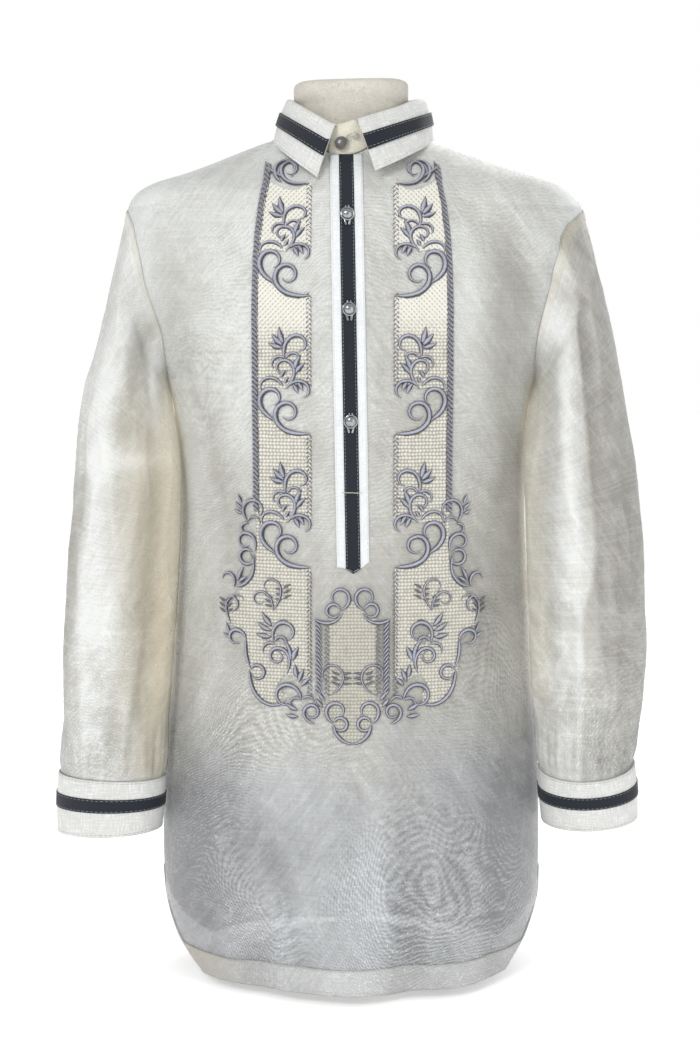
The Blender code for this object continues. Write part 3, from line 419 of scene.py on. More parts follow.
def thread_material(name, light, dark, pitch):
    paint = Paint(name, {"Sheen Weight": 0.2, "Sheen Roughness": 0.3})
    cloth = paint.cloth()
    along = paint.axis(cloth, "Y")
    across = paint.axis(cloth, "X")
    uneven = paint.threads(cloth, 250.0, 900.0)
    # Painted light and shade: the light stored on each stroke, most on its top and its upper left side,
    # picks between the thread's shaded and lit colours.
    crown = paint.stored("painted_light")
    stripes = (along * (TAU / pitch) + across * 300.0 + uneven * 3.0).wave() * 0.5 + 0.5
    shine = crown.over(0.46, 0.96) + stripes * 0.16 + (uneven - 0.5) * 0.6
    base = paint.mix(shine.held(), dark, light)
    roughness = (0.52 - stripes * 0.18).held()
    return paint.feed(base, roughness, paint.bump(stripes, 0.0003, 0.7))


def openwork_material():
    paint = Paint("openwork", {"Sheen Weight": 0.1, "Specular IOR Level": 0.3})
    cloth = paint.cloth()
    pads = paint.stored("pad")
    threads = paint.threads(cloth, 1400.0, 420.0)
    soft = paint.cloud(cloth, 28.0, 2.0)
    # Painted shade and light: the holes get a shaded tone and the pads a lit one, picked by the stored
    # pad height.
    deep = paint.mix(soft, colour(138, 134, 124), colour(164, 160, 149))
    raised = (threads * 0.6 + soft * 0.4).held()
    raised = paint.mix(raised, colour(206, 203, 191), colour(242, 240, 231))
    # Painted shade: the openwork is mixed darker towards the bottom, as the cloth round it is. It is
    # also darker over the centre field.
    place = paint.place()
    centre = paint.axis(place, "X").size().over(0.034, 0.030) * 0.26
    low = paint.axis(place, "Z").over(0.58, 0.34) * 0.14 + centre
    base = paint.mix(low, paint.mix(pads.over(0.12, 0.78), deep, raised), colour(150, 146, 134))
    roughness = (0.72 - threads * 0.15).held()
    return paint.feed(base, roughness, paint.bump(threads, 0.0004, 0.6))


ribbon = ribbon_material()
thread = thread_material("thread", colour(188, 190, 206), colour(42, 42, 50), 0.0010)
dark_thread = thread_material("dark_thread", colour(134, 134, 144), colour(50, 50, 58), 0.0010)
rope_thread = thread_material("rope_thread", colour(176, 176, 186), colour(76, 76, 84), 0.0010)
cream_thread = thread_material("cream_thread", colour(236, 232, 216), colour(190, 184, 164), 0.0009)
pale_thread = thread_material("pale_thread", colour(206, 210, 204), colour(150, 154, 150), 0.0012)
openwork = openwork_material()
print("ribbon, threads and openwork ready")

# %% [markdown]
# ## Metal, shell and linen
#
# Studs are polished metal, a little dulled by handling. The neck and cuff buttons are smoked shell,
# whose layers give a cloudy, pearly gloss. The form is covered in raw linen: an open plain weave
# with darker flecks of straw in it.


# %% Metal, shell and linen finishes
def metal_material(name, light, dark, rough, metallic):
    paint = Paint(name, {"Metallic": metallic})
    place = paint.place()
    worn = paint.cloud(place, 160.0, 4.0)
    brushed = paint.cloud(paint.stretched(place, (1.0, 1.0, 9.0)), 90.0, 2.0)
    roughness = (rough + (brushed - 0.5) * 0.18).held()
    return paint.feed(paint.mix(worn, dark, light), roughness, paint.bump(worn, 0.00008, 0.4))


def shell_material():
    paint = Paint("shell", {"Coat Weight": 0.7, "Coat Roughness": 0.08})
    place = paint.place()
    warp = paint.cloud(place, 120.0, 2.0)
    layers = ((paint.axis(place, "X") + paint.axis(place, "Z")) * 2600.0 + warp * 16.0).wave()
    tone = (layers * 0.25 + 0.5).held()
    base = paint.mix(tone, colour(52, 49, 46), colour(108, 103, 98))
    return paint.feed(base, (0.30 + warp * 0.15).held())


def linen_material():
    paint = Paint("linen", {"Sheen Weight": 0.1, "Specular IOR Level": 0.25})
    cloth = paint.cloth()
    across = paint.axis(cloth, "X")
    along = paint.axis(cloth, "Y")
    warp = paint.threads(cloth, 900.0, 60.0)
    weft = paint.threads(cloth, 60.0, 900.0)
    threads = (across * (TAU / 0.0010)).wave() * (along * (TAU / 0.0010)).wave()
    weave = warp * 0.45 + weft * 0.45 + threads * 0.10
    straw = paint.threads(cloth, 420.0, 260.0, 1.0).over(0.66, 0.76)
    soft = paint.cloud(cloth, 14.0, 3.0)
    tone = (weave * 0.7 + soft * 0.3).over(0.30, 0.70)
    base = paint.mix(tone, colour(190, 185, 174), colour(228, 224, 214))
    base = paint.mix(straw * 0.75, base, colour(120, 106, 90))
    roughness = (0.95 - weave * 0.15).held()
    return paint.feed(base, roughness, paint.bump(weave, 0.0007, 0.6))


stud_metal = metal_material("stud_metal", colour(196, 198, 200), colour(120, 122, 124), 0.14, 1.0)
stand_metal = metal_material("stand_metal", colour(232, 231, 228), colour(206, 205, 202), 0.42, 0.35)
shell = shell_material()
linen = linen_material()
print("metal, shell and linen ready")

# %% [markdown]
# ## The shirt's measures
#
# A tailor's block is a table of widths at set heights, and so is this one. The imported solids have
# the same measures, so a sheet drawn through them lies where its solid is.

# %% Tables of measures
# Columns that hold degrees, shares or powers. All the others in a table are lengths.
AS_WRITTEN = {"turn", "turn0", "turn1", "spread", "half_turn", "grey", "square"}


def listed(kind, *rows):
    """Rows under named columns, kept as they are written."""
    return tuple(kind(*row) for row in rows)


def table(kind, *rows):
    """Rows under named columns, whose lengths are written in millimetres and kept in metres."""

    def kept(name, value):
        return value if name in AS_WRITTEN else round(value / 1000, 7)

    return listed(kind, *([kept(*pair) for pair in zip(kind._fields, row)] for row in rows))


CRISP = 0.0020  # thickness of the interfaced collar in the solids
SEAM_GAP = 0.0003
HEM_HEIGHT = 0.010  # lowest point of the hems above the floor
HEM_DEPTH = 0.027
SLIT_TOP = 0.105
SLIT_SWING = {"left": math.radians(30), "right": math.radians(25)}
UNDERARM = 0.615
ARMHOLE_TOP = 0.785
FAN_START = 0.797  # rows above this height fan out towards the neckline
NECK_HALF_WIDTH = 0.066
NECK_FRONT = 0.0765
NECK_BACK = 0.066
NECK_SKEW = 0.10
RIBBON_WIDTH = 0.0140
PLACKET_WIDTH = 0.0315
PLACKET_TOP = 0.8265
PLACKET_BOTTOM = 0.4330
PLACKET_POINT = 0.0050

Section = namedtuple("Section", "height left right front back")
# The shirt's body at each height: half widths to its left and right, depths to its front and back.
# Between the underarm and the armhole's top the widths run on, through the sleeve's head.
BODY = table(
    Section,
    (0, 172, 173, 131, 118),
    (43, 186, 187, 132, 119),
    (87, 194.5, 196, 132, 119),
    (130, 196.5, 196.5, 131, 119),
    (190, 196, 196, 130, 119),
    (236, 193, 193, 129, 118),
    (288, 189, 189, 128, 116),
    (340, 186, 186, 127.5, 114),
    (430, 179.5, 181, 128, 112),
    (492, 176.8, 178.5, 129, 113),
    (542, 177.5, 178.5, 130, 117),
    (590, 182, 182, 130.5, 121),
    (615, 188, 188, 130, 122),
    (640, 197.5, 197.5, 129, 122),
    (680, 216, 216.5, 126, 121),
    (720, 230, 233.5, 121, 118),
    (750, 233.3, 241.5, 116.5, 114.5),
    (775, 228.4, 237.2, 109, 109),
    (790, 224, 231.8, 103, 104),
    (800, 217, 225, 98.5, 100),
    (810, 200, 213, 93, 95.5),
    (820, 167, 186, 86, 90.5),
    (830, 139.5, 153, 77.5, 85.5),
    (840, 114, 119.5, 72.5, 80),
    (848, 92.5, 94.5, 69, 75),
    (857, 66, 66, 66, 70.5),
    (867, 57, 57, 64, 66),
)

ArmholeRow = namedtuple("ArmholeRow", "height left right")
# How far the armhole's seam lies inside the body's half width at each height, on either side.
ARMHOLE = table(
    ArmholeRow,
    (615, 0, 0),
    (622, 3, 3.5),
    (640, 11, 13),
    (665, 20, 23),
    (700, 23, 31),
    (730, 24, 36),
    (750, 21, 36),
    (765, 15, 27),
    (778, 5.5, 9),
    (785, 0, 0),
)

SleeveRing = namedtuple("SleeveRing", "out_x out_z in_x in_z mid_y depth")
# Each ring of a sleeve below the armhole: its outermost and innermost points, the depth at which
# it hangs and its half depth. The last ring is the seam with the cuff.
SLEEVE = {
    "left": table(
        SleeveRing,
        (235.2, 742, 188.2, 606, -4, 63),
        (240.8, 714, 186.2, 596, -12, 63),
        (248.8, 680, 184.5, 582, -21, 62),
        (257.8, 640, 180.5, 562, -30, 61),
        (267.2, 595, 175.5, 535, -41, 59),
        (273.5, 545, 171.8, 505, -49, 56),
        (277.8, 495, 170.8, 470, -54, 53),
        (283, 445, 172.8, 435, -56, 51),
        (286.2, 395, 175.2, 395, -56, 50),
        (288.8, 345, 178.8, 345, -55, 48),
        (290.8, 295, 183, 295, -53, 45),
        (292.5, 257, 186.6, 254, -50, 42),
        (294, 233, 188.8, 229, -50, 39),
        (295.5, 218, 190.5, 213, -50, 36),
    ),
    "right": table(
        SleeveRing,
        (245.5, 742, 188.2, 606, -4, 63),
        (251.2, 714, 186.2, 596, -12, 63),
        (258, 680, 184.5, 582, -21, 62),
        (265, 640, 181.2, 562, -30, 61),
        (272.8, 595, 177.5, 535, -41, 59),
        (281.2, 545, 175.5, 505, -49, 56),
        (286.5, 495, 175.8, 470, -54, 53),
        (291.5, 445, 177.2, 435, -56, 51),
        (295.5, 395, 179, 395, -56, 50),
        (297, 345, 180.8, 345, -55, 48),
        (295, 298, 183.8, 295, -53, 45),
        (291.2, 264, 187.8, 260, -50, 42),
        (287.8, 243, 190, 238, -50, 39),
        (286.5, 229, 191.5, 223, -50, 36),
    ),
}

Cuff = namedtuple("Cuff", "out_x out_z in_x in_z top_dip bottom_dip")
# The cuff's lower ring, and how far the front of its upper and lower rings dips below their sides.
CUFF = {
    "left": Cuff(0.2972, 0.1565, 0.1945, 0.1605, 0.001, 0.001),
    "right": Cuff(0.2900, 0.1712, 0.1962, 0.1670, 0.012, 0.005),
}
CUFF_BAND = (0.32, 0.56)  # the ribbon's edges, as shares of the cuff's height from its top

Fold = namedtuple("Fold", "x0 z0 x1 z1 width depth")
# The body's largest folds: soft ridges (+) and troughs (-) along a line in the front's X and Z.
FOLDS = {
    "front": table(
        Fold,
        (85, 832, 172, 700, 15, -5.5),
        (125, 822, 205, 735, 12, 4),
        (160, 680, 165, 400, 22, -7),
        (-172, 650, -112, 470, 20, -7),
        (-150, 540, -152, 240, 20, 5),
        (-62, 290, -92, 10, 26, -8),
        (-12, 250, 6, 10, 26, 5.5),
        (52, 290, 56, 10, 24, -7),
        (118, 330, 112, 10, 24, 6.5),
    ),
    "back": table(
        Fold,
        (-80, 600, -100, 10, 26, 7),
        (-20, 560, -30, 10, 26, -6.5),
        (50, 580, 60, 10, 26, 7),
        (110, 520, 120, 10, 24, -5.5),
        (-150, 740, -70, 620, 20, -5),
        (150, 740, 80, 620, 20, -5),
    ),
}

SleeveFold = namedtuple("SleeveFold", "turn0 z0 turn1 z1 spread depth")
# The sleeves' largest folds. A turn is in degrees round the sleeve, 0 outside and 90 in front.
SLEEVE_FOLDS = {
    "left": table(
        SleeveFold,
        (112, 690, 80, 470, 17, -7),
        (62, 610, 96, 300, 16, 5),
        (132, 560, 122, 260, 15, -5.5),
        (70, 340, 100, 225, 14, -5),
        (250, 640, 265, 260, 18, -6),
        (295, 580, 305, 240, 16, 4.5),
    ),
    "right": table(
        SleeveFold,
        (72, 720, 84, 450, 15, -6.5),
        (104, 680, 108, 300, 16, 5.5),
        (42, 580, 60, 300, 16, -5.5),
        (96, 340, 92, 215, 13, 6),
        (250, 640, 265, 260, 18, -6),
        (295, 580, 305, 240, 16, 4.5),
    ),
}

CollarRow = namedtuple("CollarRow", "turn stand_rise fold_out left_x right_x edge_y edge_z")
# The collar round the neck, by degrees from the centre back: the stand's height, how far the fold
# stands out from it, and the point of the leaf's lower edge on either side.
COLLAR = table(
    CollarRow,
    (0, 33, 3, 0, 0, 83, 862),
    (30, 33, 3, 43, 44, 74, 862),
    (60, 33, 3, 71, 74, 45, 861),
    (90, 33, 3, 78, 83.5, 0, 858),
    (120, 32.5, 3.2, 74.5, 80, -46, 851),
    (140, 32.5, 3.6, 62.5, 67, -75, 839),
    (155, 32.5, 5.2, 46.5, 51.5, -93, 825),
    (171, 32.5, 6.6, 25.5, 30.5, -103.5, 810),
)
COLLAR_TURN = 4.0  # degrees that the collar sits round to the wearer's right
LEAF_END = 171  # degrees from the centre back at which the leaf's front edges lie
TAB_LAP = 15.5  # degrees past the centre front that the stand's upper end reaches
STAND_SEAT = 0.0010  # the stand's lower edge above the neckline
STAND_LEAN = 0.0040  # how far the stand's top leans in towards the neck
LEAF_BAND = (0.30, 0.60)  # the ribbon's edges, as shares of the leaf's depth from the fold
TAB_ROOT = 152.0  # degrees from the centre back at which the lap begins

PanelRow = namedtuple("PanelRow", "height inner outer")
# The openwork fields: each row's edges, from the placket's side outwards.
CALADO_SIDE = table(
    PanelRow,
    (812, 39.5, 83.5),
    (780, 40, 88.5),
    (730, 40, 93),
    (670, 40, 94.5),
    (600, 40, 94.5),
    (540, 40, 94),
    (495, 40, 94),
    (450, 40.5, 93),
    (425, 40.5, 96),
    (405, 41, 113),
    (385, 41, 123),
    (365, 41, 118),
    (350, 41, 105),
    (325, 41, 102),
    (308, 48, 96),
    (298, 62, 86),
)
CALADO_CENTRE = table(
    PanelRow,
    (402, -4, 4),
    (390, -13, 13),
    (378, -36, 36),
    (350, -36.5, 36.5),
    (320, -36.5, 36.5),
    (300, -35, 35),
    (285, -28, 28),
    (270, -20, 20),
    (261, -8, 8),
)
CALADO_SHIFT = 0.0015  # the whole embroidery sits this far to the right of the centre line

BUTTON_HEIGHTS = (0.772, 0.682, 0.576)

FormRow = namedtuple("FormRow", "height left right front back square")
# The limbless torso, from its flat underside to the top of its neck block. A section is an ellipse
# where square is 2, and squarer above. The shirt rests on the tops of the shoulders.
FORM = table(
    FormRow,
    (230, 144, 144, 98, 85, 2.0),
    (234.5, 153, 153, 107, 94, 2.0),
    (260, 156.5, 156.5, 110, 97, 2.0),
    (330, 157, 157, 110, 99, 2.0),
    (400, 150, 150, 106, 93, 2.0),
    (460, 146, 146, 105, 90, 2.0),
    (530, 154, 154, 113, 95, 2.0),
    (600, 166, 166, 119, 105, 2.0),
    (660, 177, 177, 118, 110, 2.0),
    (715, 189, 190, 111, 108, 2.0),
    (760, 196, 200, 98, 99, 2.0),
    (790, 198, 204, 89, 92, 2.0),
    (802, 196, 204, 85, 88, 2.0),
    (809.5, 190, 202, 82, 85, 2.0),
    (818.1, 167, 186, 78, 82, 2.0),
    (828.1, 139.5, 153, 72, 78, 2.0),
    (838.1, 114, 119.5, 68, 73, 2.0),
    (846.1, 90, 92, 65, 67, 2.0),
    (853, 66, 66.5, 60, 58, 2.1),
    (861, 58.5, 58.5, 58, 51.5, 2.3),
    (875, 57.5, 57.5, 57, 48.5, 2.3),
    (903, 57.3, 57.3, 56.8, 48, 2.3),
    (906.5, 55.7, 55.7, 55, 46.5, 2.3),
    (907.8, 52.5, 52.5, 52, 43.5, 2.3),
)
print(len(BODY), "rows down the body and", len(SLEEVE["left"]), "rings down a sleeve")

# %% [markdown]
# ## Smooth curves through the tables
#
# A sheet this glossy shows each flat facet. So the rows are joined by curves that never overshoot
# them, stored in fine steps, because the panels ask for them some hundred thousand times.


# %% Curves
class Curve:
    """One column of a table as a smooth curve, read at any place along its key."""

    STEPS = 1500

    def __init__(self, rows, key, name):
        ordered = sorted(rows, key=lambda row: getattr(row, key))
        self.keys = [getattr(row, key) for row in ordered]
        self.stops = [getattr(row, name) for row in ordered]
        self.low, self.high = self.keys[0], self.keys[-1]
        self.step = (self.high - self.low) / self.STEPS
        self.values = [self.between(self.low + self.step * k) for k in range(self.STEPS + 1)]

    def slope(self, index):
        if index in (0, len(self.keys) - 1):
            return 0.0
        keys, stops = self.keys, self.stops
        before = (stops[index] - stops[index - 1]) / (keys[index] - keys[index - 1])
        after = (stops[index + 1] - stops[index]) / (keys[index + 1] - keys[index])
        return 0.0 if before * after <= 0 else 2 * before * after / (before + after)

    def between(self, key):
        if key <= self.low:
            return self.stops[0]
        if key >= self.high:
            return self.stops[-1]
        k = max(i for i, stop in enumerate(self.keys[:-1]) if stop <= key)
        span = self.keys[k + 1] - self.keys[k]
        t = (key - self.keys[k]) / span
        return (
            self.stops[k] * (1 + 2 * t) * (1 - t) ** 2
            + self.slope(k) * span * t * (1 - t) ** 2
            + self.stops[k + 1] * t * t * (3 - 2 * t)
            + self.slope(k + 1) * span * t * t * (t - 1)
        )

    def __call__(self, key):
        place = min(max((key - self.low) / self.step, 0.0), self.STEPS - 0.001)
        k = int(place)
        return self.values[k] + (self.values[k + 1] - self.values[k]) * (place - k)


BODY_CURVES = {name: Curve(BODY, "height", name) for name in ("left", "right", "front", "back")}
ARMHOLE_CURVES = {name: Curve(ARMHOLE, "height", name) for name in ("left", "right")}
COLLAR_CURVES = {name: Curve(COLLAR, "turn", name) for name in CollarRow._fields[1:]}
FORM_CURVES = {name: Curve(FORM, "height", name) for name in FormRow._fields[1:]}
CALADO_CURVES = {
    "side": {name: Curve(CALADO_SIDE, "height", name) for name in ("inner", "outer")},
    "centre": {name: Curve(CALADO_CENTRE, "height", name) for name in ("inner", "outer")},
}
print("half width at the waist", round(BODY_CURVES["left"](0.49), 4))

# %% [markdown]
# ## The body's surface and its folds
#
# Cloth that hangs from two shoulders folds from the neck over the chest, down each side of it, and
# in long soft flutes below. A fold here is a ridge or trough along a line, opening as it falls.
# Organza also keeps small, sharp creases from being handled, which come from ridged noise.

# %% Finer creases
CREASES = {
    "front": table(
        Fold,
        (100, 812, 215, 690, 7, 2.2),
        (128, 800, 208, 640, 6, -2),
        (150, 735, 178, 560, 8, 2.4),
        (180, 640, 150, 500, 7, -2.2),
        (172, 520, 120, 380, 9, 2.6),
        (120, 450, 170, 250, 10, -2.8),
        (-205, 700, -150, 560, 7, 2.2),
        (-120, 812, -190, 715, 8, -2),
        (-150, 620, -120, 440, 7, -2.4),
        (-110, 420, -160, 270, 9, 2.4),
        (-140, 250, -120, 30, 10, 3),
        (-100, 210, -50, 40, 8, -2.6),
        (20, 240, 40, 30, 8, 2.6),
        (85, 260, 80, 30, 9, 3),
        (150, 230, 140, 30, 9, -3),
        (-30, 540, -34, 440, 6, -1.2),
        (34, 700, 30, 520, 6, -1.2),
    ),
    "back": table(
        Fold,
        (-120, 760, -40, 690, 10, 2.4),
        (120, 760, 40, 690, 10, 2.4),
        (0, 500, 10, 20, 12, 3.4),
        (-140, 480, -150, 20, 12, -3.4),
        (150, 430, 155, 20, 12, 3),
    ),
}
FoldLine = namedtuple("FoldLine", "x0 z0 run_x run_z length2 width depth")


def fold_line(fold):
    run_x, run_z = fold.x1 - fold.x0, fold.z1 - fold.z0
    length2 = run_x * run_x + run_z * run_z
    return FoldLine(fold.x0, fold.z0, run_x, run_z, length2, fold.width, fold.depth)


FOLD_LINES = {side: [fold_line(fold) for fold in FOLDS[side] + CREASES[side]] for side in FOLDS}
print({side: len(lines) for side, lines in FOLD_LINES.items()}, "folds")


# %% The body's surface
def soft_step(share):
    share = min(max(share, 0.0), 1.0)
    return share * share * (3 - 2 * share)


def fold_rise(side, x, z):
    """How far the folds on one side raise the cloth at a place."""
    rise = 0.0
    for line in FOLD_LINES[side]:
        from_x, from_z = x - line.x0, z - line.z0
        share = (from_x * line.run_x + from_z * line.run_z) / line.length2
        held = min(max(share, 0.0), 1.0)
        off_x, off_z = from_x - line.run_x * held, from_z - line.run_z * held
        off = (off_x * off_x + off_z * off_z) / (line.width * line.width)
        if off < 8.0:
            rise += line.depth * math.exp(-off) * soft_step((share + 0.1) / 0.6)
    return rise


def rough(*place):
    """A smooth random number between -1 and 1, the same each time at a place."""
    return noise.noise(Vector(place))


def crease(x, z, seed):
    """How near a place is to a line where the cloth was once folded, from 0 to 0.34."""
    return max(0.34 - abs(rough(x * 30 + z * 12, z * 22 - x * 8, seed + 7)), 0.0)


def crinkle(x, z, seed):
    """Small handling creases: a soft swell, and ridges where the cloth was once folded."""
    swell = rough(x * 16, z * 11, seed) * 0.0016
    fine = rough(x * 75, z * 60, seed + 3) * 0.0004
    return swell + crease(x, z, seed) * 0.0026 + fine


def half_width(x, height):
    """The body's half width on its left where x is below 0, and otherwise on its right."""
    return BODY_CURVES["left" if x < 0 else "right"](height)


def body_point(side, turn, height, out=0.0):
    """The body's outer face at an angle from the centre front or back and a height."""
    width = half_width(turn, height)
    depth = BODY_CURVES[side](height)
    across, along = math.sin(turn), max(math.cos(turn), 0.0)
    x = width * across
    seed = 1.0 if side == "front" else 31.0
    rise = fold_rise(side, x, height) + crinkle(x, height, seed) * soft_step((0.85 - height) / 0.04)
    y = depth * along + rise * along**0.5
    if out:
        away_x, away_y = across / width, along / depth
        size = math.hypot(away_x, away_y)
        x += away_x / size * out
        y += away_y / size * out
    return Vector((x, -y if side == "front" else y, height))


def body_turn(x, height):
    width = half_width(x, height)
    return math.asin(min(max(x / width, -1.0), 1.0))


def front_point(x, height, out=0.0):
    """The dressed front at a place on it, moved out by a little."""
    return body_point("front", body_turn(x, height), height, out)


def front_frame(x, height, out):
    """The same with the cloth's own outward direction, for pieces that stand up from it."""
    step = 0.0015
    across = front_point(x + step, height) - front_point(x - step, height)
    up = front_point(x, height + step) - front_point(x, height - step)
    normal = across.cross(up).normalized()
    return front_point(x, height) + normal * out, normal


def end_turn(hand, height):
    """The angle at which a panel ends: the slit's edge, the side seam or the armhole."""
    if height < SLIT_TOP:
        opened = (SLIT_TOP - height) / (SLIT_TOP - HEM_HEIGHT)
        return math.pi / 2 - SLIT_SWING[hand] * opened**1.6
    if not UNDERARM < height < ARMHOLE_TOP:
        return math.pi / 2
    width = BODY_CURVES[hand](height)
    return math.asin((width - ARMHOLE_CURVES[hand](height)) / width)


@lru_cache(maxsize=None)
def neck_row(side, share):
    """The turn and height of the neckline, at a share (-1 to 1) of the way to the shoulder seam."""
    plan = share * math.pi / 2
    neck_x = NECK_HALF_WIDTH * math.sin(plan)
    depth = NECK_FRONT - NECK_SKEW * neck_x if side == "front" else NECK_BACK
    neck_y = depth * math.cos(plan)
    low, high = 0.810, 0.867
    for _ in range(30):
        height = (low + high) / 2
        width = half_width(share, height)
        inside = 1 - (neck_x / width) ** 2
        if inside > 0 and BODY_CURVES[side](height) * math.sqrt(inside) > neck_y:
            low = height
        else:
            high = height
    return math.asin(max(min(neck_x / width, 1.0), -1.0)), height


def panel_place(side, share, height, fan=0.0):
    """The turn and height of a place on a panel. fan runs from 0 to 1 above the shoulder's row."""
    if fan > 0:
        neck_turn, neck_height = neck_row(side, share)
        start = share * math.pi / 2
        return start + fan * (neck_turn - start), FAN_START + fan * (neck_height - FAN_START)
    end = end_turn("left" if share < 0 else "right", height)
    if height < SLIT_TOP:
        return share * end, height
    return share * math.pi / 2 - (math.pi / 2 - end) * share * abs(share), height


Hollow = namedtuple("Hollow", "x z half_width half_height grey")
# Where the cloth stands off the form or turns from the light, and so goes grey (+), or where it lies
# smooth against the chest and shines (-).
HOLLOWS = {
    "front": table(
        Hollow,
        (-178, 640, 22, 50, 0.12),
        (-163, 690, 30, 70, 0.20),
        (-45, 660, 30, 100, 0.12),
        (28, 680, 42, 120, 0.28),
        (172, 590, 40, 150, 0.10),
        (150, 690, 22, 70, 0.34),
        (118, 700, 14, 60, -0.10),
        (60, 550, 30, 60, 0.18),
        (-40, 550, 30, 40, 0.16),
        (-170, 165, 40, 125, 0.44),
        (-120, 150, 28, 140, 0.18),
        (155, 140, 36, 150, 0.30),
        (106, 140, 28, 110, 0.18),
        (115, 370, 36, 80, 0.20),
        (20, 360, 60, 60, 0.24),
        (28, 160, 16, 120, -0.14),
        (-66, 210, 30, 60, -0.22),
        (-75, 80, 40, 35, -0.14),
        (-5, 150, 14, 90, 0.10),
        (62, 185, 22, 40, -0.06),
    ),
    "back": table(
        Hollow,
        (0, 640, 90, 110, -0.06),
        (-175, 560, 40, 200, 0.10),
        (175, 560, 40, 200, 0.10),
    ),
}


def seeping(x, z):
    """How strongly the cloth is painted to glow where sleeve and body meet, for the light that seeps
    through the layers there, from 0 to 1.
    """
    width = half_width(x, z)
    beside = soft_step((abs(x) / width - 0.94) / 0.05) * soft_step((1.09 - abs(x) / width) / 0.08)
    return beside * soft_step((0.64 - z) / 0.06) * soft_step((z - 0.26) / 0.06)


def body_painted_light(side, x, z):
    """The painted light on the body's cloth: bright on the chest, greyer where it hangs clear of the
    form.
    """
    # Painted light and shade: darker lower down and to the right, paler near the sides, grey in the
    # hollows, lighter on ridges and creases and darker in troughs, with a little random tone.
    light = 0.84 - 0.32 * soft_step((0.66 - z) / 0.30) - 0.10 * soft_step((x + 0.02) / 0.12)
    light -= 0.15 * soft_step((0.33 - z) / 0.16)
    width = half_width(x, z)
    light += 0.30 * soft_step((abs(x) / width - 0.80) / 0.20) * soft_step((z - 0.20) / 0.10)
    for hollow in HOLLOWS[side]:
        off_x, off_z = (x - hollow.x) / hollow.half_width, (z - hollow.z) / hollow.half_height
        light -= hollow.grey * math.exp(-off_x * off_x - off_z * off_z)
    seed = 1.0 if side == "front" else 31.0
    light += fold_rise(side, x, z) * 20.0 + (crease(x, z, seed) - 0.12) * 0.20
    light += rough(x * 14, z * 8, seed + 50) * 0.05
    return light


waist_front = front_point(0.0, 0.49)
print("centre front at the waist", [round(value, 4) for value in waist_front])

# %% [markdown]
# ## Helpers for sheets and raised strokes
#
# Every sheet starts as a flat grid, as cloth starts flat on the table, and its points are moved to
# where the worn cloth lies. Its UV map stays in metres of flat cloth, so the weave keeps its size.
# A raised stroke is the same grid rolled round a path.


# %% Grids, strokes and finished pieces
def moved_grid(bm, columns, rows, place, flat, painted_light=None):
    """Adds a grid whose points go where place(across, up) says, with a UV map in metres.

    The last argument, called with (point, across, up), gives each point's painted light, from 0 in a
    hollow to 1 on a ridge. Each point then also keeps its share of painted glow.
    """
    layer = bm.loops.layers.uv.verify()
    numbers = bm.verts.layers.float
    for name in ("painted_light", "seep"):
        if painted_light and not numbers.get(name):
            numbers.new(name)
    made = bmesh.ops.create_grid(
        bm, x_segments=columns, y_segments=rows, size=0.5, calc_uvs=True
    )["verts"]
    for vert in made:
        across, up = vert.co.x + 0.5, vert.co.y + 0.5
        vert.co = place(across, up)
        if painted_light:
            vert[numbers["painted_light"]] = min(max(painted_light(vert.co, across, up), 0.0), 1.0)
            vert[numbers["seep"]] = seeping(vert.co.x, vert.co.z)
    for face in {face for vert in made for face in vert.link_faces}:
        for loop in face.loops:
            if callable(flat):
                loop[layer].uv = flat(loop.vert.co)
            else:
                loop[layer].uv = (loop[layer].uv.x * flat[0], loop[layer].uv.y * flat[1])
    return made


def welded(bm, distance=0.00001):
    bmesh.ops.remove_doubles(bm, verts=bm.verts, dist=distance)


def outward(bm):
    bmesh.ops.recalc_face_normals(bm, faces=bm.faces)


def finished(name, bm, paint, slot, stands_for=(), wall=0.0, sharp=60):
    """Makes the object of a bmesh, gives it a wall where the cloth is thick, and lets it ride."""
    mesh = bpy.data.meshes.new(name)
    bm.to_mesh(mesh)
    bm.free()
    mesh.materials.append(paint)
    mesh.shade_smooth()
    mesh.set_sharp_from_angle(angle=math.radians(sharp))
    made = bpy.data.objects.new(name, mesh)
    bpy.context.scene.collection.objects.link(made)
    if wall:
        solid = made.modifiers.new("wall", "SOLIDIFY")
        solid.thickness = wall
        solid.offset = 1.0
    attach(made, "root")
    if stands_for:
        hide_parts(*stands_for)
    print(name, len(mesh.polygons), "faces")
    return made


def sheet(name, columns, rows, place, flat, paint, slot, stands_for, painted_light=None, **finish):
    """Makes one grid a piece of its own."""
    bm = bmesh.new()
    moved_grid(bm, columns, rows, place, flat, painted_light)
    return finished(name, bm, paint, slot, stands_for, **finish)


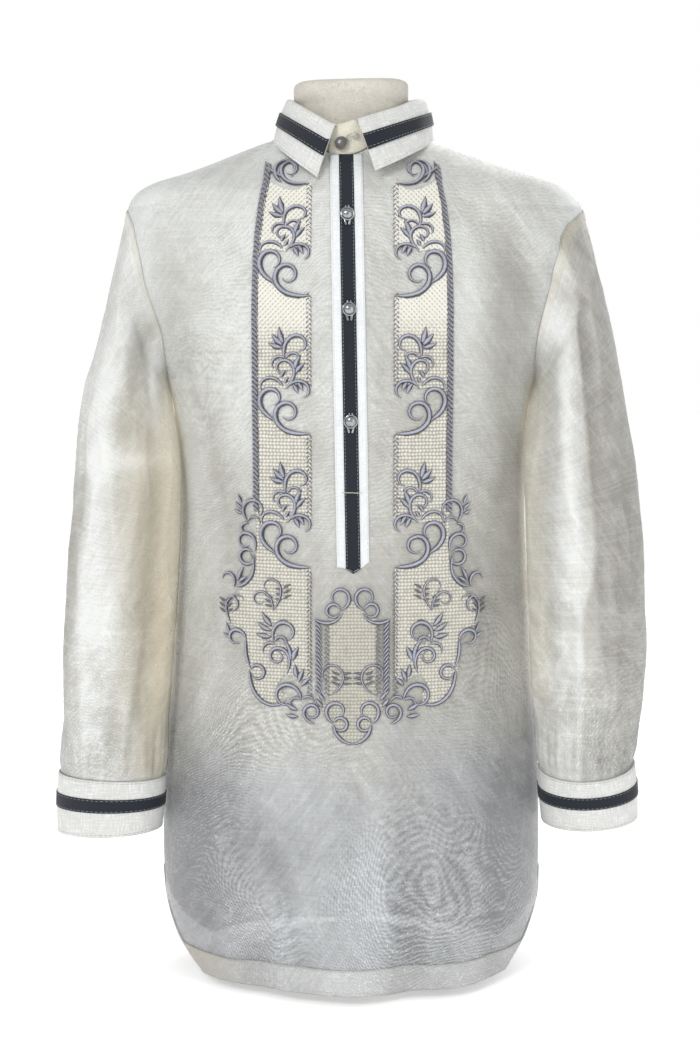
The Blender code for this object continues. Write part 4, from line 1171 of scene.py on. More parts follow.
def add_stroke(bm, path, width, rise, around=8, tips=(0.10, 0.16), thin=0.45):
    """Adds one raised stroke along a path of (point, normal) pairs, rounded off at both tips."""
    last = len(path) - 1
    directions = [
        (path[min(k + 1, last)][0] - path[max(k - 1, 0)][0]).normalized() for k in range(last + 1)
    ]
    length = sum((path[k + 1][0] - path[k][0]).length for k in range(last))

    def place(across, up):
        k = round(up * last)
        point, normal = path[k]
        side = directions[k].cross(normal)
        ends = math.sqrt(min(up / tips[0], 1.0) * min((1 - up) / tips[1], 1.0))
        swell = ends * (thin + (1 - thin) * math.sin(math.pi * min(up * 1.1, 1.0) ** 0.8))
        turn = -TAU * across
        lift = max(math.sin(turn), -0.35)
        return point + side * (math.cos(turn) * width / 2 * swell) + normal * (rise * lift * swell)

    def crown(point, across, up):
        """The thread's shine: most on its top and on the side that looks up and to the left."""
        k = round(up * last)
        side = directions[k].cross(path[k][1]) * math.cos(TAU * across)
        top = max(math.sin(-TAU * across), 0.0)
        return min(top * 0.80 + (side.z * 0.8 - side.x * 0.6) * 0.34 * (0.3 + top), 1.0)

    moved_grid(bm, around, last, place, (width * 2.4, length), crown)


print("sheet helpers ready")

# %% [markdown]
# ## The dress form
#
# A countertop form is a padded torso without limbs, in linen, on a short pole and a round plate.
# Only its neck block stands clear, but the rest glows through the cloth, so it is made whole. A grid
# is rolled round the rows of its table and closed at both ends.

# %% Dress form
FORM_AROUND = 112
FORM_UP = 150
FORM_LOW = FORM[0].height
NECK_TILT = 0.024  # the neck block's top slopes a little to one side
FORM_TOP = FORM[-1].height


def form_point(across, up):
    """The form at a share of the way round and up. Rows are closer together at the neck."""
    height = FORM_LOW + (FORM_TOP - FORM_LOW) * (1 - (1 - up) ** 1.35)
    turn = TAU * across + math.pi / 2
    side, along = math.sin(turn), math.cos(turn)
    width = FORM_CURVES["left" if side < 0 else "right"](height)
    depth = FORM_CURVES["back" if along > 0 else "front"](height)
    power = 2 / (FORM_CURVES["square"](height) + 1.6 * soft_step((height - 0.884) / 0.016))
    x = width * math.copysign(abs(side) ** power, side)
    y = depth * math.copysign(abs(along) ** power, along)
    tilt = NECK_TILT * x * soft_step((height - 0.88) / 0.02)
    return Vector((x, y, height + tilt))


form_bm = bmesh.new()
moved_grid(form_bm, FORM_AROUND, FORM_UP, form_point, (0.9, FORM_TOP - FORM_LOW))
welded(form_bm)
open_edges = [edge for edge in form_bm.edges if edge.is_boundary]
caps = bmesh.ops.holes_fill(form_bm, edges=open_edges, sides=0)["faces"]
bmesh.ops.inset_region(form_bm, faces=caps, thickness=0.010, use_even_offset=True)
bmesh.ops.poke(form_bm, faces=caps)
outward(form_bm)
form_uv = form_bm.loops.layers.uv.verify()
for face in form_bm.faces:
    if abs(face.normal.z) > 0.95 and (face.calc_center_median().z > FORM_TOP - 0.002):
        for loop in face.loops:
            loop[form_uv].uv = (loop.vert.co.x, loop.vert.co.y)
dress_form = finished("dress_form", form_bm, linen, "form_linen", ["form_torso"])

for name in ("form_pole", "form_base"):
    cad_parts[name].material_slots[0].material = stand_metal
print("pole and base painted")

# %% [markdown]
# ## Front and back
#
# Each is one piece of sheer cloth from hem to neckline. Its sides follow the slit, the side seam and
# the armhole, and its top rows fan in to the neckline. One layer of faces is right for cloth a tenth
# of a millimetre thick: a wall would double what it hides.

# %% Front and back panels
PANEL_ACROSS = 190
PANEL_UP = 318
FAN_SHARE = 0.10  # the share of the rows above the shoulder's row


def panel_point(side, across, up, out=0.0):
    share = 2 * across - 1
    if side == "back":
        share = -share
    if up < 1 - FAN_SHARE:
        height = HEM_HEIGHT + (FAN_START - HEM_HEIGHT) * up / (1 - FAN_SHARE)
        turn, height = panel_place(side, share, height)
    else:
        turn, height = panel_place(side, share, FAN_START, (up - 1 + FAN_SHARE) / FAN_SHARE)
    return body_point(side, turn, height, out)


def body_light(side, extra=0.0):
    """The light at each point of a sheet on the body, as moved_grid asks for it."""
    return lambda point, across, up: body_painted_light(side, point.x, point.z) + extra


for side in ("front", "back"):

    def place(across, up):
        return panel_point(side, across, up)

    size = (PANEL_ACROSS, PANEL_UP, place, (0.56, 0.86))
    look = (sheer, "sheer_cloth", [side], body_light(side))
    sheet(side + "_panel", *size, *look, sharp=180)

# %% [markdown]
# ## Hems, slits and seams
#
# A seam in sheer cloth shows as a denser line, because its turned edges lie in layers. So each
# allowance is a real strip laid just inside the panel: a wide one doubled at the hem, narrow ones at
# the slits, the sides, the shoulders and the armholes.

# %% Hems and seams
SEAM_WIDTH = 0.0060
SLIT_FACING = 0.011
WITHIN = -0.0004  # a seam allowance lies this far behind the outer face
SEAM_LIGHT = 0.12  # two layers of cloth are a little brighter than one
HEM_LIGHT = 0.10


def hem_point(side, across, up):
    share = (2 * across - 1) * (1 if side == "front" else -1)
    turn, height = panel_place(side, share, HEM_HEIGHT + HEM_DEPTH * up)
    return body_point(side, turn, height, 0.0003)


def edge_strip(bm, side, hand, low, high, width, rows, light=SEAM_LIGHT, out=WITHIN):
    """A strip along a panel's side edge between two heights."""
    sign = -1 if hand == "left" else 1

    def place(across, up):
        height = low + (high - low) * up
        inset = width / BODY_CURVES[hand](height)
        end = end_turn(hand, height)
        turn = sign * (end - inset * (1 - across if sign > 0 else across))
        return body_point(side, turn, height, out)

    moved_grid(bm, 4, rows, place, (width, high - low), body_light(side, light))


for side in ("front", "back"):
    bm = bmesh.new()

    def place(across, up):
        return hem_point(side, across, up)

    moved_grid(bm, 150, 10, place, (0.52, HEM_DEPTH), body_light(side, HEM_LIGHT))
    for hand in ("left", "right"):
        edge_strip(bm, side, hand, HEM_HEIGHT + HEM_DEPTH, SLIT_TOP, SLIT_FACING, 24, 0.20, 0.0004)
    finished(side + "_hem", bm, sheer_hem, "sheer_cloth", wall=0.0006)

seam_bm = bmesh.new()
for side in ("front", "back"):
    for hand in ("left", "right"):
        edge_strip(seam_bm, side, hand, SLIT_TOP, UNDERARM, SEAM_WIDTH / 2, 170)
        edge_strip(seam_bm, side, hand, UNDERARM + 0.002, ARMHOLE_TOP - 0.001, SEAM_WIDTH, 80)
        edge_strip(seam_bm, side, hand, ARMHOLE_TOP, 0.850, SEAM_WIDTH, 40)
outward(seam_bm)
body_seams = finished("body_seams", seam_bm, sheer_seam, "sheer_cloth", sharp=180)

# %% Stitching along the hems
STITCH_LENGTH = 0.0026
STITCH_GAP = 0.0008
HEM_LINE = 0.36  # how much of each hem's stitching is drawn, from its middle


def stitch_row(bm, place, length, width=0.0005, rise=0.0003):
    """Short raised stitches along a line given as place(metres along) -> (point, normal)."""
    count = int(length / (STITCH_LENGTH + STITCH_GAP))
    for k in range(count):
        start = k * (STITCH_LENGTH + STITCH_GAP)
        path = [place(start + STITCH_LENGTH * i / 4) for i in range(5)]
        add_stroke(bm, path, width, rise, around=4, thin=0.7)


def hem_line(side):
    """The line of stitching at the top of a hem."""

    def place(along):
        x = -HEM_LINE / 2 + along
        height = HEM_HEIGHT + HEM_DEPTH - 0.0012
        turn = body_turn(x, height)
        point = body_point(side, turn, height, 0.0011)
        outwards = body_point(side, turn, height, 0.010) - body_point(side, turn, height)
        return point, outwards.normalized()

    return place


stitch_bm = bmesh.new()
for side in ("front", "back"):
    stitch_row(stitch_bm, hem_line(side), HEM_LINE)
welded(stitch_bm)
hem_stitches = finished("hem_stitches", stitch_bm, cream_thread, "sheer_cloth")

# %% [markdown]
# ## Sleeves
#
# A sleeve hangs from the armhole as a soft tube, fuller at the elbow and gathered into its cuff. A
# curve is run down through the rings at each angle, which gives an even tube, and folds and creases
# are then added along the way the cloth falls.

# %% Sleeves
# Finer creases than the solids have, in the same degrees round the sleeve.
SLEEVE_CREASES = {
    "left": table(
        SleeveFold,
        (96, 720, 130, 590, 8, -2.6),
        (80, 650, 108, 540, 7, 2.4),
        (60, 560, 84, 420, 8, -2.6),
        (108, 500, 92, 360, 7, 2.2),
        (86, 420, 74, 290, 7, 2.6),
        (120, 380, 104, 250, 7, 2.6),
        (46, 470, 58, 260, 8, 2.4),
        (92, 320, 88, 222, 5, -2.4),
        (32, 640, 40, 400, 9, -2.2),
        (230, 600, 240, 300, 9, 2.6),
        (318, 620, 322, 300, 9, -2.6),
    ),
    "right": table(
        SleeveFold,
        (60, 720, 66, 560, 8, 2.6),
        (92, 700, 98, 520, 7, -2.4),
        (116, 640, 104, 480, 7, 2.2),
        (50, 540, 46, 380, 8, 2.6),
        (82, 470, 76, 330, 7, -2.6),
        (110, 420, 118, 270, 7, -2.4),
        (66, 360, 70, 235, 6, 2.8),
        (28, 600, 34, 360, 9, -2.2),
        (230, 600, 240, 300, 9, 2.6),
        (318, 620, 322, 300, 9, -2.6),
    ),
}
SLEEVE_AROUND = 132
SLEEVE_UP = 240
RING_COUNT = len(SLEEVE["left"]) + 1
SLEEVE_REACH = 0.0055  # how far the upper sleeve lies in against the body's side


def armhole_point(hand, turn):
    """The sleeve's seam with the body: turn 0 at its top, then round its front."""
    sign = -1 if hand == "left" else 1
    height = (ARMHOLE_TOP + UNDERARM) / 2 + (ARMHOLE_TOP - UNDERARM) / 2 * math.cos(turn)
    side = "front" if math.sin(turn) >= 0 else "back"
    return body_point(side, sign * end_turn(hand, height), height, 0.0004)


def ring_point(hand, ring, turn, dip=0.0):
    sign = -1 if hand == "left" else 1
    out, up = math.cos(turn), math.sin(turn)
    x = (ring.out_x + ring.in_x) / 2 + (ring.out_x - ring.in_x) / 2 * out
    z = (ring.out_z + ring.in_z) / 2 + (ring.out_z - ring.in_z) / 2 * out
    return Vector((sign * x, ring.mid_y - ring.depth * up, z - dip * max(up, 0.0)))


def ring_places():
    """How far down the sleeve each ring lies, as a share of the whole."""
    middles = [Vector((0.20, 0.0, 0.700))]
    for ring in SLEEVE["left"]:
        middles.append(Vector(((ring.out_x + ring.in_x) / 2, 0, (ring.out_z + ring.in_z) / 2)))
    runs = [0.0]
    for first, second in zip(middles, middles[1:]):
        runs.append(runs[-1] + max((second - first).length, 0.012))
    return [run / runs[-1] for run in runs]


RING_PLACES = ring_places()


@lru_cache(maxsize=None)
def sleeve_knots(hand, turn):
    """The points that one lengthwise line of the sleeve runs through."""
    knots = [armhole_point(hand, turn)]
    for index, ring in enumerate(SLEEVE[hand]):
        below = (len(SLEEVE[hand]) - 1 - index) / 3
        knots.append(ring_point(hand, ring, turn, CUFF[hand].top_dip * max(1 - below, 0.0)))
    return knots


def sleeve_rise(hand, degrees, z):
    """How far folds and creases raise the sleeve at an angle and a height."""
    rise = 0.0
    for fold in SLEEVE_FOLDS[hand] + SLEEVE_CREASES[hand]:
        share = (fold.z0 - z) / (fold.z0 - fold.z1)
        centre = fold.turn0 + (fold.turn1 - fold.turn0) * share
        off = (degrees - centre) / fold.spread
        if abs(off) < 3 and -0.2 < share < 1.2:
            rise += fold.depth * math.exp(-off * off) * soft_step(min(share + 0.15, 1.15 - share) / 0.4)
    return rise


def sleeve_ridge(hand, turn, z):
    """How near a place on a sleeve is to an old crease, from 0 to 0.30."""
    seed = 61.0 if hand == "left" else 83.0
    return max(0.30 - abs(rough(math.cos(turn) * 2.5, math.sin(turn) * 2.5, z * 15 + seed)), 0.0)


def sleeve_point(hand, turn, down, out=0.0):
    """The sleeve's outer face at an angle round it and a share of the way down."""
    turn = turn % TAU
    knots = sleeve_knots(hand, round(turn, 5))
    k = max(i for i in range(RING_COUNT - 1) if RING_PLACES[i] <= down + 1e-9)
    span = RING_PLACES[k + 1] - RING_PLACES[k]
    t = (down - RING_PLACES[k]) / span

    def slope(index):
        low, high = max(index - 1, 0), min(index + 1, RING_COUNT - 1)
        return (knots[high] - knots[low]) / (RING_PLACES[high] - RING_PLACES[low])

    point = (
        knots[k] * ((1 + 2 * t) * (1 - t) ** 2)
        + slope(k) * (span * t * (1 - t) ** 2)
        + knots[k + 1] * (t * t * (3 - 2 * t))
        + slope(k + 1) * (span * t * t * (t - 1))
    )
    sign = -1 if hand == "left" else 1
    degrees = math.degrees(turn)
    free = soft_step(down / 0.10) * soft_step((1 - down) / 0.05)
    inner = 1 - 0.6 * soft_step((-math.cos(turn) - 0.2) / 0.5)  # the side against the body is quiet
    rise = sleeve_rise(hand, degrees, point.z) * free
    seed = 61.0 if hand == "left" else 83.0
    here = Vector((math.cos(turn) * 1.1, math.sin(turn) * 1.1, point.z * 9 + seed))
    rise += noise.noise(here * 1.3) * 0.0022 * inner * free
    rise += sleeve_ridge(hand, turn, point.z) * 0.0050 * inner * free
    gather = soft_step((down - 0.86) / 0.10) * soft_step((1.004 - down) / 0.03)
    pleats = math.sin(turn * 17 + 2.2 * math.sin(turn * 3 + down * 9)) + 0.5 * math.sin(turn * 31 + 1)
    rise += (pleats * 0.0011 + 0.0009) * gather
    rise += SLEEVE_REACH * math.exp(-(((degrees - 165) / 32) ** 2) - ((point.z - 0.565) / 0.065) ** 2)
    away = Vector((math.cos(turn) * sign, -math.sin(turn), 0.0))
    return point + away * (rise + out)


SleeveHollow = namedtuple("SleeveHollow", "turn z half_turn half_height grey")
# Where each sleeve goes grey (+) or shines (-), in degrees round it.
SLEEVE_HOLLOWS = {
    "left": table(
        SleeveHollow,
        (104, 630, 17, 50, 0.30),
        (116, 570, 13, 30, 0.24),
        (84, 570, 16, 18, 0.20),
        (100, 537, 46, 10, -0.40),
        (132, 600, 8, 55, -0.30),
        (60, 625, 18, 50, -0.18),
        (62, 390, 20, 150, -0.34),
        (18, 400, 22, 190, 0.36),
        (136, 370, 28, 170, 0.22),
    ),
    "right": table(
        SleeveHollow,
        (104, 640, 12, 150, -0.26),
        (112, 440, 14, 120, -0.12),
        (150, 480, 24, 140, 0.16),
        (96, 340, 16, 30, -0.24),
        (70, 300, 14, 30, -0.16),
        (150, 300, 26, 110, 0.10),
    ),
}


def panel_edge(z):
    """The angle up to which the right sleeve's outer side lies smooth and turned from the light."""
    return 62 + 26 * soft_step((0.75 - z) / 0.10) + 16 * soft_step((0.45 - z) / 0.08)


def sleeve_painted_light(hand, turn, z):
    """The painted light on a sleeve's cloth."""
    degrees = math.degrees(turn % TAU)
    # Painted light and shade: the left sleeve darker below the elbow, the right one's outer side
    # darker, both lighter on their inner sides, grey in the hollows and lighter on ridges.
    if hand == "left":
        light = 0.74 - 0.20 * soft_step((0.54 - z) / 0.06)
    else:
        turned = soft_step((panel_edge(z) - degrees) / 7)
        if degrees > 180:
            turned = soft_step((degrees - 280) / 60)
        light = 0.58 - turned * 0.40
    light += 0.18 * soft_step((degrees - 130) / 40) * soft_step((230 - degrees) / 40)
    for hollow in SLEEVE_HOLLOWS[hand]:
        off_turn = ((degrees - hollow.turn + 180) % 360 - 180) / hollow.half_turn
        off_z = (z - hollow.z) / hollow.half_height
        light -= hollow.grey * math.exp(-off_turn * off_turn - off_z * off_z)
    light += sleeve_rise(hand, degrees, z) * 22.0 + (sleeve_ridge(hand, turn, z) - 0.10) * 0.34
    # Painted light and shade on soft crimps that lie across the sleeve where the arm once bent, with
    # sharp painted creases that grow brighter low on the sleeve.
    crimp = rough(math.cos(turn) * 1.6, math.sin(turn) * 1.6, z * 46 + 5)
    sharp = max(0.16 - abs(rough(math.cos(turn) * 2.2, math.sin(turn) * 2.2, z * 60)), 0.0)
    light += crimp * 0.12 + sharp * (0.40 + 0.50 * soft_step((0.44 - z) / 0.06))
    return light


for hand in ("left", "right"):
    bm = bmesh.new()
    way = -1 if hand == "left" else 1  # so that the cloth's face is outside on both

    def place(across, up):
        return sleeve_point(hand, way * TAU * across, up)

    # Painted light: a sleeve is lighter just below its seam with the body.
    def painted_light(point, across, up):
        return sleeve_painted_light(hand, way * TAU * across, point.z) + 0.30 * soft_step((0.03 - up) / 0.03)

    moved_grid(bm, SLEEVE_AROUND, SLEEVE_UP, place, (0.30, 0.56), painted_light)
    welded(bm)
    name = "sleeve_" + hand
    finished(name + "_cloth", bm, sheer_sleeve, "sheer_cloth", [name], sharp=180)

# %% Sleeve seams and plackets
sleeve_bm = bmesh.new()
for hand in ("left", "right"):
    for centre, half, low, high in ((180, 3.2, 0.02, 0.995), (308, 9.0, 0.83, 0.998)):

        def place(across, up):
            turn = math.radians(centre + half * (2 * across - 1))
            return sleeve_point(hand, turn, low + (high - low) * up, 0.0006)

        def painted_light(point, across, up):
            return sleeve_painted_light(hand, math.radians(centre), point.z) + SEAM_LIGHT

        moved_grid(sleeve_bm, 6, 120, place, (0.012, 0.56 * (high - low)), painted_light)
    for side, first, last in (("front", 0.02, math.pi - 0.02), ("back", math.pi + 0.02, TAU - 0.02)):

        def place(across, up):
            turn = first + (last - first) * across
            return sleeve_point(hand, turn, 0.002 + 0.012 * up, 0.0006)

        def painted_light(point, across, up):
            turn = first + (last - first) * across
            return sleeve_painted_light(hand, turn, point.z) + SEAM_LIGHT

        moved_grid(sleeve_bm, 90, 3, place, (0.25, SEAM_WIDTH), painted_light)
outward(sleeve_bm)
sleeve_seams = finished("sleeve_seams", sleeve_bm, sheer_seam, "sheer_cloth", sharp=180)

# %% [markdown]
# ## Cuffs
#
# A cuff is a stiff band that laps over itself on the outer side, where a button holds it. The grid
# runs round once and a little more, and steps out by a cloth's thickness over its own start.

# %% Cuffs
CUFF_WALL = 0.0013
RIBBON_WALL = 0.0006
CUFF_START = math.radians(-58)  # of the lap's under end, on the outer back
CUFF_TURN = TAU + math.radians(15)
CUFF_FLARE = 0.0008


def cuff_point(hand, around, share, out=0.0):
    """A cuff at a share of the way along its band and of its height from the top."""
    turn = CUFF_START + CUFF_TURN * around
    lap = soft_step((around - 0.90) / 0.05)
    top, cuff = SLEEVE[hand][-1], CUFF[hand]
    bow = 0.0010 * math.sin(math.pi * share) + 0.0006 * math.sin(turn * 3 + share * 2)
    grow = CUFF_FLARE + (CUFF_WALL + 0.0006) * lap + out + bow
    ring = top._replace(
        out_x=top.out_x + (cuff.out_x - top.out_x) * share + grow,
        out_z=top.out_z + (cuff.out_z - top.out_z) * share - 2 * SEAM_GAP,
        in_x=top.in_x + (cuff.in_x - top.in_x) * share - grow,
        in_z=top.in_z + (cuff.in_z - top.in_z) * share - 2 * SEAM_GAP,
        depth=top.depth + grow,
    )
    dip = cuff.top_dip + (cuff.bottom_dip - cuff.top_dip) * share
    return ring_point(hand, ring, turn, dip)


CUFF_SIZE = (0.245, 0.062)
CUFF_EDGES = (0.035, 0.955)  # where the cloth's own stitching runs, as shares of its height
cuff_stitches = bmesh.new()
for hand in ("left", "right"):
    flip = hand == "left"

    def place(across, up):
        return cuff_point(hand, 1 - across if flip else across, up)

    name = "cuff_" + hand
    look = (crisp, "crisp_cloth", [name])
    sheet(name + "_cloth", 150, 26, place, CUFF_SIZE, *look, wall=CUFF_WALL)

    def place(across, up):
        share = CUFF_BAND[0] + (CUFF_BAND[1] - CUFF_BAND[0]) * up
        return cuff_point(hand, 1 - across if flip else across, share, CUFF_WALL + 0.0002)

    name = "cuff_ribbon_" + hand
    look = (ribbon, "navy_ribbon", [name])
    size = (150, 8, place, (CUFF_SIZE[0], RIBBON_WIDTH))
    sheet(name + "_trim", *size, *look, wall=RIBBON_WALL)
    for share in (*CUFF_EDGES, CUFF_BAND[0] + 0.025, CUFF_BAND[1] - 0.025):
        proud = CUFF_WALL if share in CUFF_EDGES else CUFF_WALL + RIBBON_WALL

        def line(along):
            around = min(along / CUFF_SIZE[0], 1.0)
            point = cuff_point(hand, around, share, proud + 0.0002)
            away = cuff_point(hand, around, share, 0.010) - cuff_point(hand, around, share)
            return point, away.normalized()

        stitch_row(cuff_stitches, line, CUFF_SIZE[0] - 0.001, width=0.00045, rise=0.00025)
welded(cuff_stitches)
finished("cuff_stitches", cuff_stitches, pale_thread, "navy_ribbon")

# %% [markdown]
# ## Collar
#
# The stand is a band round the neck, and the leaf is folded down over it. The leaf's strip starts
# inside the stand's top, turns over in a tight round fold, and falls to its points. Drawn as one
# sheet, it keeps that fold soft. The stand's end laps over at the front with a keyhole buttonhole.

# %% Collar stand and leaf
COLLAR_WALL = 0.0015


def collar_side(turn, name):
    return COLLAR_CURVES[name](abs(turn))


@lru_cache(maxsize=None)
def neck_point(turn, out=0.0):
    """The neckline at a turn in degrees from the collar's centre back, moved out from its axis."""
    angle = math.radians(turn + COLLAR_TURN)
    side = "back" if math.cos(angle) > 0 else "front"
    _, height = neck_row(side, math.asin(math.sin(angle)) / (math.pi / 2))
    x = NECK_HALF_WIDTH * math.sin(angle)
    depth = NECK_BACK if side == "back" else NECK_FRONT - NECK_SKEW * x
    plan = Vector((x, depth * math.cos(angle), 0.0))
    plan += plan.normalized() * out
    return Vector((plan.x, plan.y, height))


CollarRun = namedtuple("CollarRun", "back_x back_y back_z front_x front_y front_z")
# The ironed fold and lower edge run straight from the side of the neck to the front on each side.
FOLD_RUN = {
    "left": CollarRun(-0.0657, 0.005, 0.8956, -0.0184, -0.0800, 0.8613),
    "right": CollarRun(0.0770, -0.004, 0.8944, 0.0073, -0.0810, 0.8664),
}
EDGE_RUN = {
    "left": CollarRun(-0.0797, -0.005, 0.8518, -0.0306, -0.1035, 0.8067),
    "right": CollarRun(0.0833, -0.005, 0.8512, 0.0234, -0.1035, 0.8148),
}
RUN_RISE = 0.12  # metres that a run rises for each metre that it lies further back
RIGHT_SPREAD = 0.0110  # how far the fold stands off the neck on the wearer's left


def ironed(point, run, turn):
    """Moves a place on the collar up or down to its straight run."""
    share = min(max((point.x - run.back_x) / (run.front_x - run.back_x), 0.0), 1.0)
    depth = run.back_y + (run.front_y - run.back_y) * share
    height = run.back_z + (run.front_z - run.back_z) * share + RUN_RISE * (point.y - depth)
    point.z += (height - point.z) * soft_step((abs(turn) - 60) / 35)


def leaf_point(turn, share, out=0.0):
    """The leaf at a share of its depth, from the fold (0) down to its lower edge (1)."""
    stand_top = neck_point(turn, -CRISP * 0.5)
    outwards = Vector((stand_top.x, stand_top.y, 0.0)).normalized()
    hand = "left" if turn < 0 else "right"
    spread = 0.0
    if turn > 0:
        spread = RIGHT_SPREAD * soft_step((turn - 35) / 50) * soft_step((165 - turn) / 65)
    away = collar_side(turn, "fold_out") + CRISP * 0.5 - STAND_LEAN + spread
    fold = stand_top + outwards * away
    fold.z += collar_side(turn, "stand_rise") + 0.0012
    ironed(fold, FOLD_RUN[hand], turn)
    x = -collar_side(turn, "left_x") if turn < 0 else collar_side(turn, "right_x")
    edge = Vector((x, collar_side(turn, "edge_y"), collar_side(turn, "edge_z")))
    edge = Matrix.Rotation(math.radians(-COLLAR_TURN), 3, "Z") @ edge
    ironed(edge, EDGE_RUN[hand], turn)
    bulge = 0.0022 * math.sin(math.pi * share)
    return fold.lerp(edge, share) + outwards * (bulge + out)


TAB_DROP = 0.0035  # the lapped end hangs this much lower at its tip


def tab_share(turn):
    """How far along the lapped end a turn is, from 0 at its root to 1 at its tip."""
    return soft_step(((turn if turn > 0 else 360 + turn) - 174) / 20)


@lru_cache(maxsize=None)
def stand_rise(turn):
    """The stand's height, which stays under the leaf's fold wherever the leaf lies over it."""
    around = turn if abs(turn) <= 180 else 360 - abs(turn)
    rise = collar_side(around, "stand_rise")
    if abs(turn) > LEAF_END:
        return rise - TAB_DROP * tab_share(turn)
    return min(rise, leaf_point(turn, 0.0).z - neck_point(turn).z - STAND_SEAT - 0.0016)


def stand_point(turn, share, out=0.0):
    """The stand's outer face at a share of its height."""
    lap = min(max(turn - TAB_ROOT, 0.0) / 16.0, 1.0) * (CRISP + 2 * SEAM_GAP)
    base = neck_point(turn, lap - CRISP * 0.5)
    outwards = Vector((base.x, base.y, 0.0)).normalized()
    seat = STAND_SEAT - 0.7 * TAB_DROP * tab_share(turn) * (turn > LEAF_END)
    lift = Vector((0.0, 0.0, seat + stand_rise(turn) * share))
    return base - outwards * (STAND_LEAN * share) + outwards * out + lift


CROWN_SHARE = 0.16  # of the leaf's rows, over the fold
LEAF_INSET = -0.0008  # the leaf's inner face, from the line that its measures give
ON_LEAF = COLLAR_WALL + LEAF_INSET + 0.0003
LEAF_LENGTH = 0.45  # along the ribbon
STAND_START = -190  # degrees from the centre back to the stand's under end


def leaf_sheet(turn, up):
    """The leaf from its seam inside the stand, over the crown, and down to its edge."""
    if up > CROWN_SHARE:
        return leaf_point(turn, 0.07 + 0.93 * (up - CROWN_SHARE) / (1 - CROWN_SHARE), LEAF_INSET)
    start = neck_point(turn, -CRISP * 1.5 - STAND_LEAN)
    start = start + Vector((0, 0, STAND_SEAT + stand_rise(turn) + CRISP * 0.5))
    end = leaf_point(turn, 0.07, LEAF_INSET)
    top = leaf_point(turn, 0.0, -0.0010) + Vector((0, 0, 0.0022))
    t = up / CROWN_SHARE
    return start * ((1 - t) ** 2) + top * (2 * t * (1 - t)) + end * (t * t)


def stand_place(across, up):
    return stand_point(STAND_START + (180 + TAB_LAP - STAND_START) * across, up, -CRISP)


def leaf_place(across, up):
    return leaf_sheet(LEAF_END * (1 - 2 * across), up)


def trim_place(across, up):
    share = LEAF_BAND[0] + (LEAF_BAND[1] - LEAF_BAND[0]) * up
    return leaf_point(LEAF_END * (1 - 2 * across), share, ON_LEAF)


size = (170, 12, stand_place, (0.43, 0.033))
look = (crisp_ivory, "crisp_cloth", ["collar_stand"])
stand_cloth = sheet("stand_cloth", *size, *look, wall=COLLAR_WALL)
size = (170, 34, leaf_place, (0.47, 0.052))
look = (crisp, "crisp_cloth", ["collar_leaf"])
leaf_cloth = sheet("leaf_cloth", *size, *look, wall=COLLAR_WALL)
size = (170, 8, trim_place, (LEAF_LENGTH, RIBBON_WIDTH))
look = (ribbon, "navy_ribbon", ["collar_ribbon"])
leaf_ribbon = sheet("leaf_ribbon", *size, *look, wall=RIBBON_WALL)

# %% Collar stitching and buttonhole
collar_bm = bmesh.new()


def leaf_line(share, out):
    """A line along the leaf at a share of its depth."""

    def place(along):
        turn = LEAF_END * (1 - 2 * min(along / LEAF_LENGTH, 1.0))
        point = leaf_point(turn, share, out)
        across = leaf_point(turn - 1, share) - leaf_point(turn, share)
        down = leaf_point(turn, share + 0.02) - leaf_point(turn, share)
        normal = across.cross(down).normalized()
        outwards = Vector((point.x, point.y, 0.0))
        return point, normal if normal.dot(outwards) > 0 else -normal

    return place


for share in (LEAF_BAND[0] + 0.035, LEAF_BAND[1] - 0.035):
    line = leaf_line(share, ON_LEAF + RIBBON_WALL)
    stitch_row(collar_bm, line, LEAF_LENGTH - 0.001, width=0.00045, rise=0.00025)
stitch_row(collar_bm, leaf_line(0.94, 0.0009), LEAF_LENGTH - 0.001, width=0.0004, rise=0.0002)
welded(collar_bm)
finished("collar_stitches", collar_bm, pale_thread, "navy_ribbon")


def tab_frame(turn, share, out):
    """A place on the stand's front with its outward direction."""
    point = stand_point(turn, share)
    across = stand_point(turn + 1, share) - point
    up = stand_point(turn, share + 0.05) - point
    normal = across.cross(up).normalized()
    normal = normal if normal.dot(Vector((point.x, point.y, 0.0))) > 0 else -normal
    return point + normal * out, normal


TAB_STITCHED = (42.0, 0.050)  # degrees and metres of stitching on the lapped end
tab_bm = bmesh.new()
for share in (0.10, 0.93):

    def place(along):
        return tab_frame(TAB_ROOT + TAB_STITCHED[0] * along / TAB_STITCHED[1], share, 0.0003)

    stitch_row(tab_bm, place, TAB_STITCHED[1], width=0.0004, rise=0.0002)
welded(tab_bm)
finished("tab_stitches", tab_bm, cream_thread, "crisp_cloth")

COLLAR_BUTTON_TURN = 181.5
HOLE_TURN = COLLAR_BUTTON_TURN - 7.0
HOLE_INNER = (4.6, 0.065)  # half sizes, in degrees round and shares of the stand's height
HOLE_OUTER = (5.8, 0.125)
hole_bm = bmesh.new()
for k in range(34):
    angle = TAU * k / 34
    slot = math.copysign(abs(math.cos(angle)) ** 0.6, math.cos(angle))
    inner, outer = (
        tab_frame(HOLE_TURN + wide * slot, 0.50 + high * math.sin(angle), 0.0003)
        for wide, high in (HOLE_INNER, HOLE_OUTER)
    )
    path = [(inner[0].lerp(outer[0], i / 3), inner[1]) for i in range(4)]
    add_stroke(hole_bm, path, 0.0009, 0.0005, 5)
slit = [tab_frame(HOLE_TURN + HOLE_INNER[0] * (k / 6 - 1.0), 0.50, 0.0003) for k in range(13)]
add_stroke(hole_bm, slit, 0.0012, 0.0003, 6)
welded(hole_bm)
buttonhole = finished("buttonhole", hole_bm, pale_thread, "crisp_cloth")

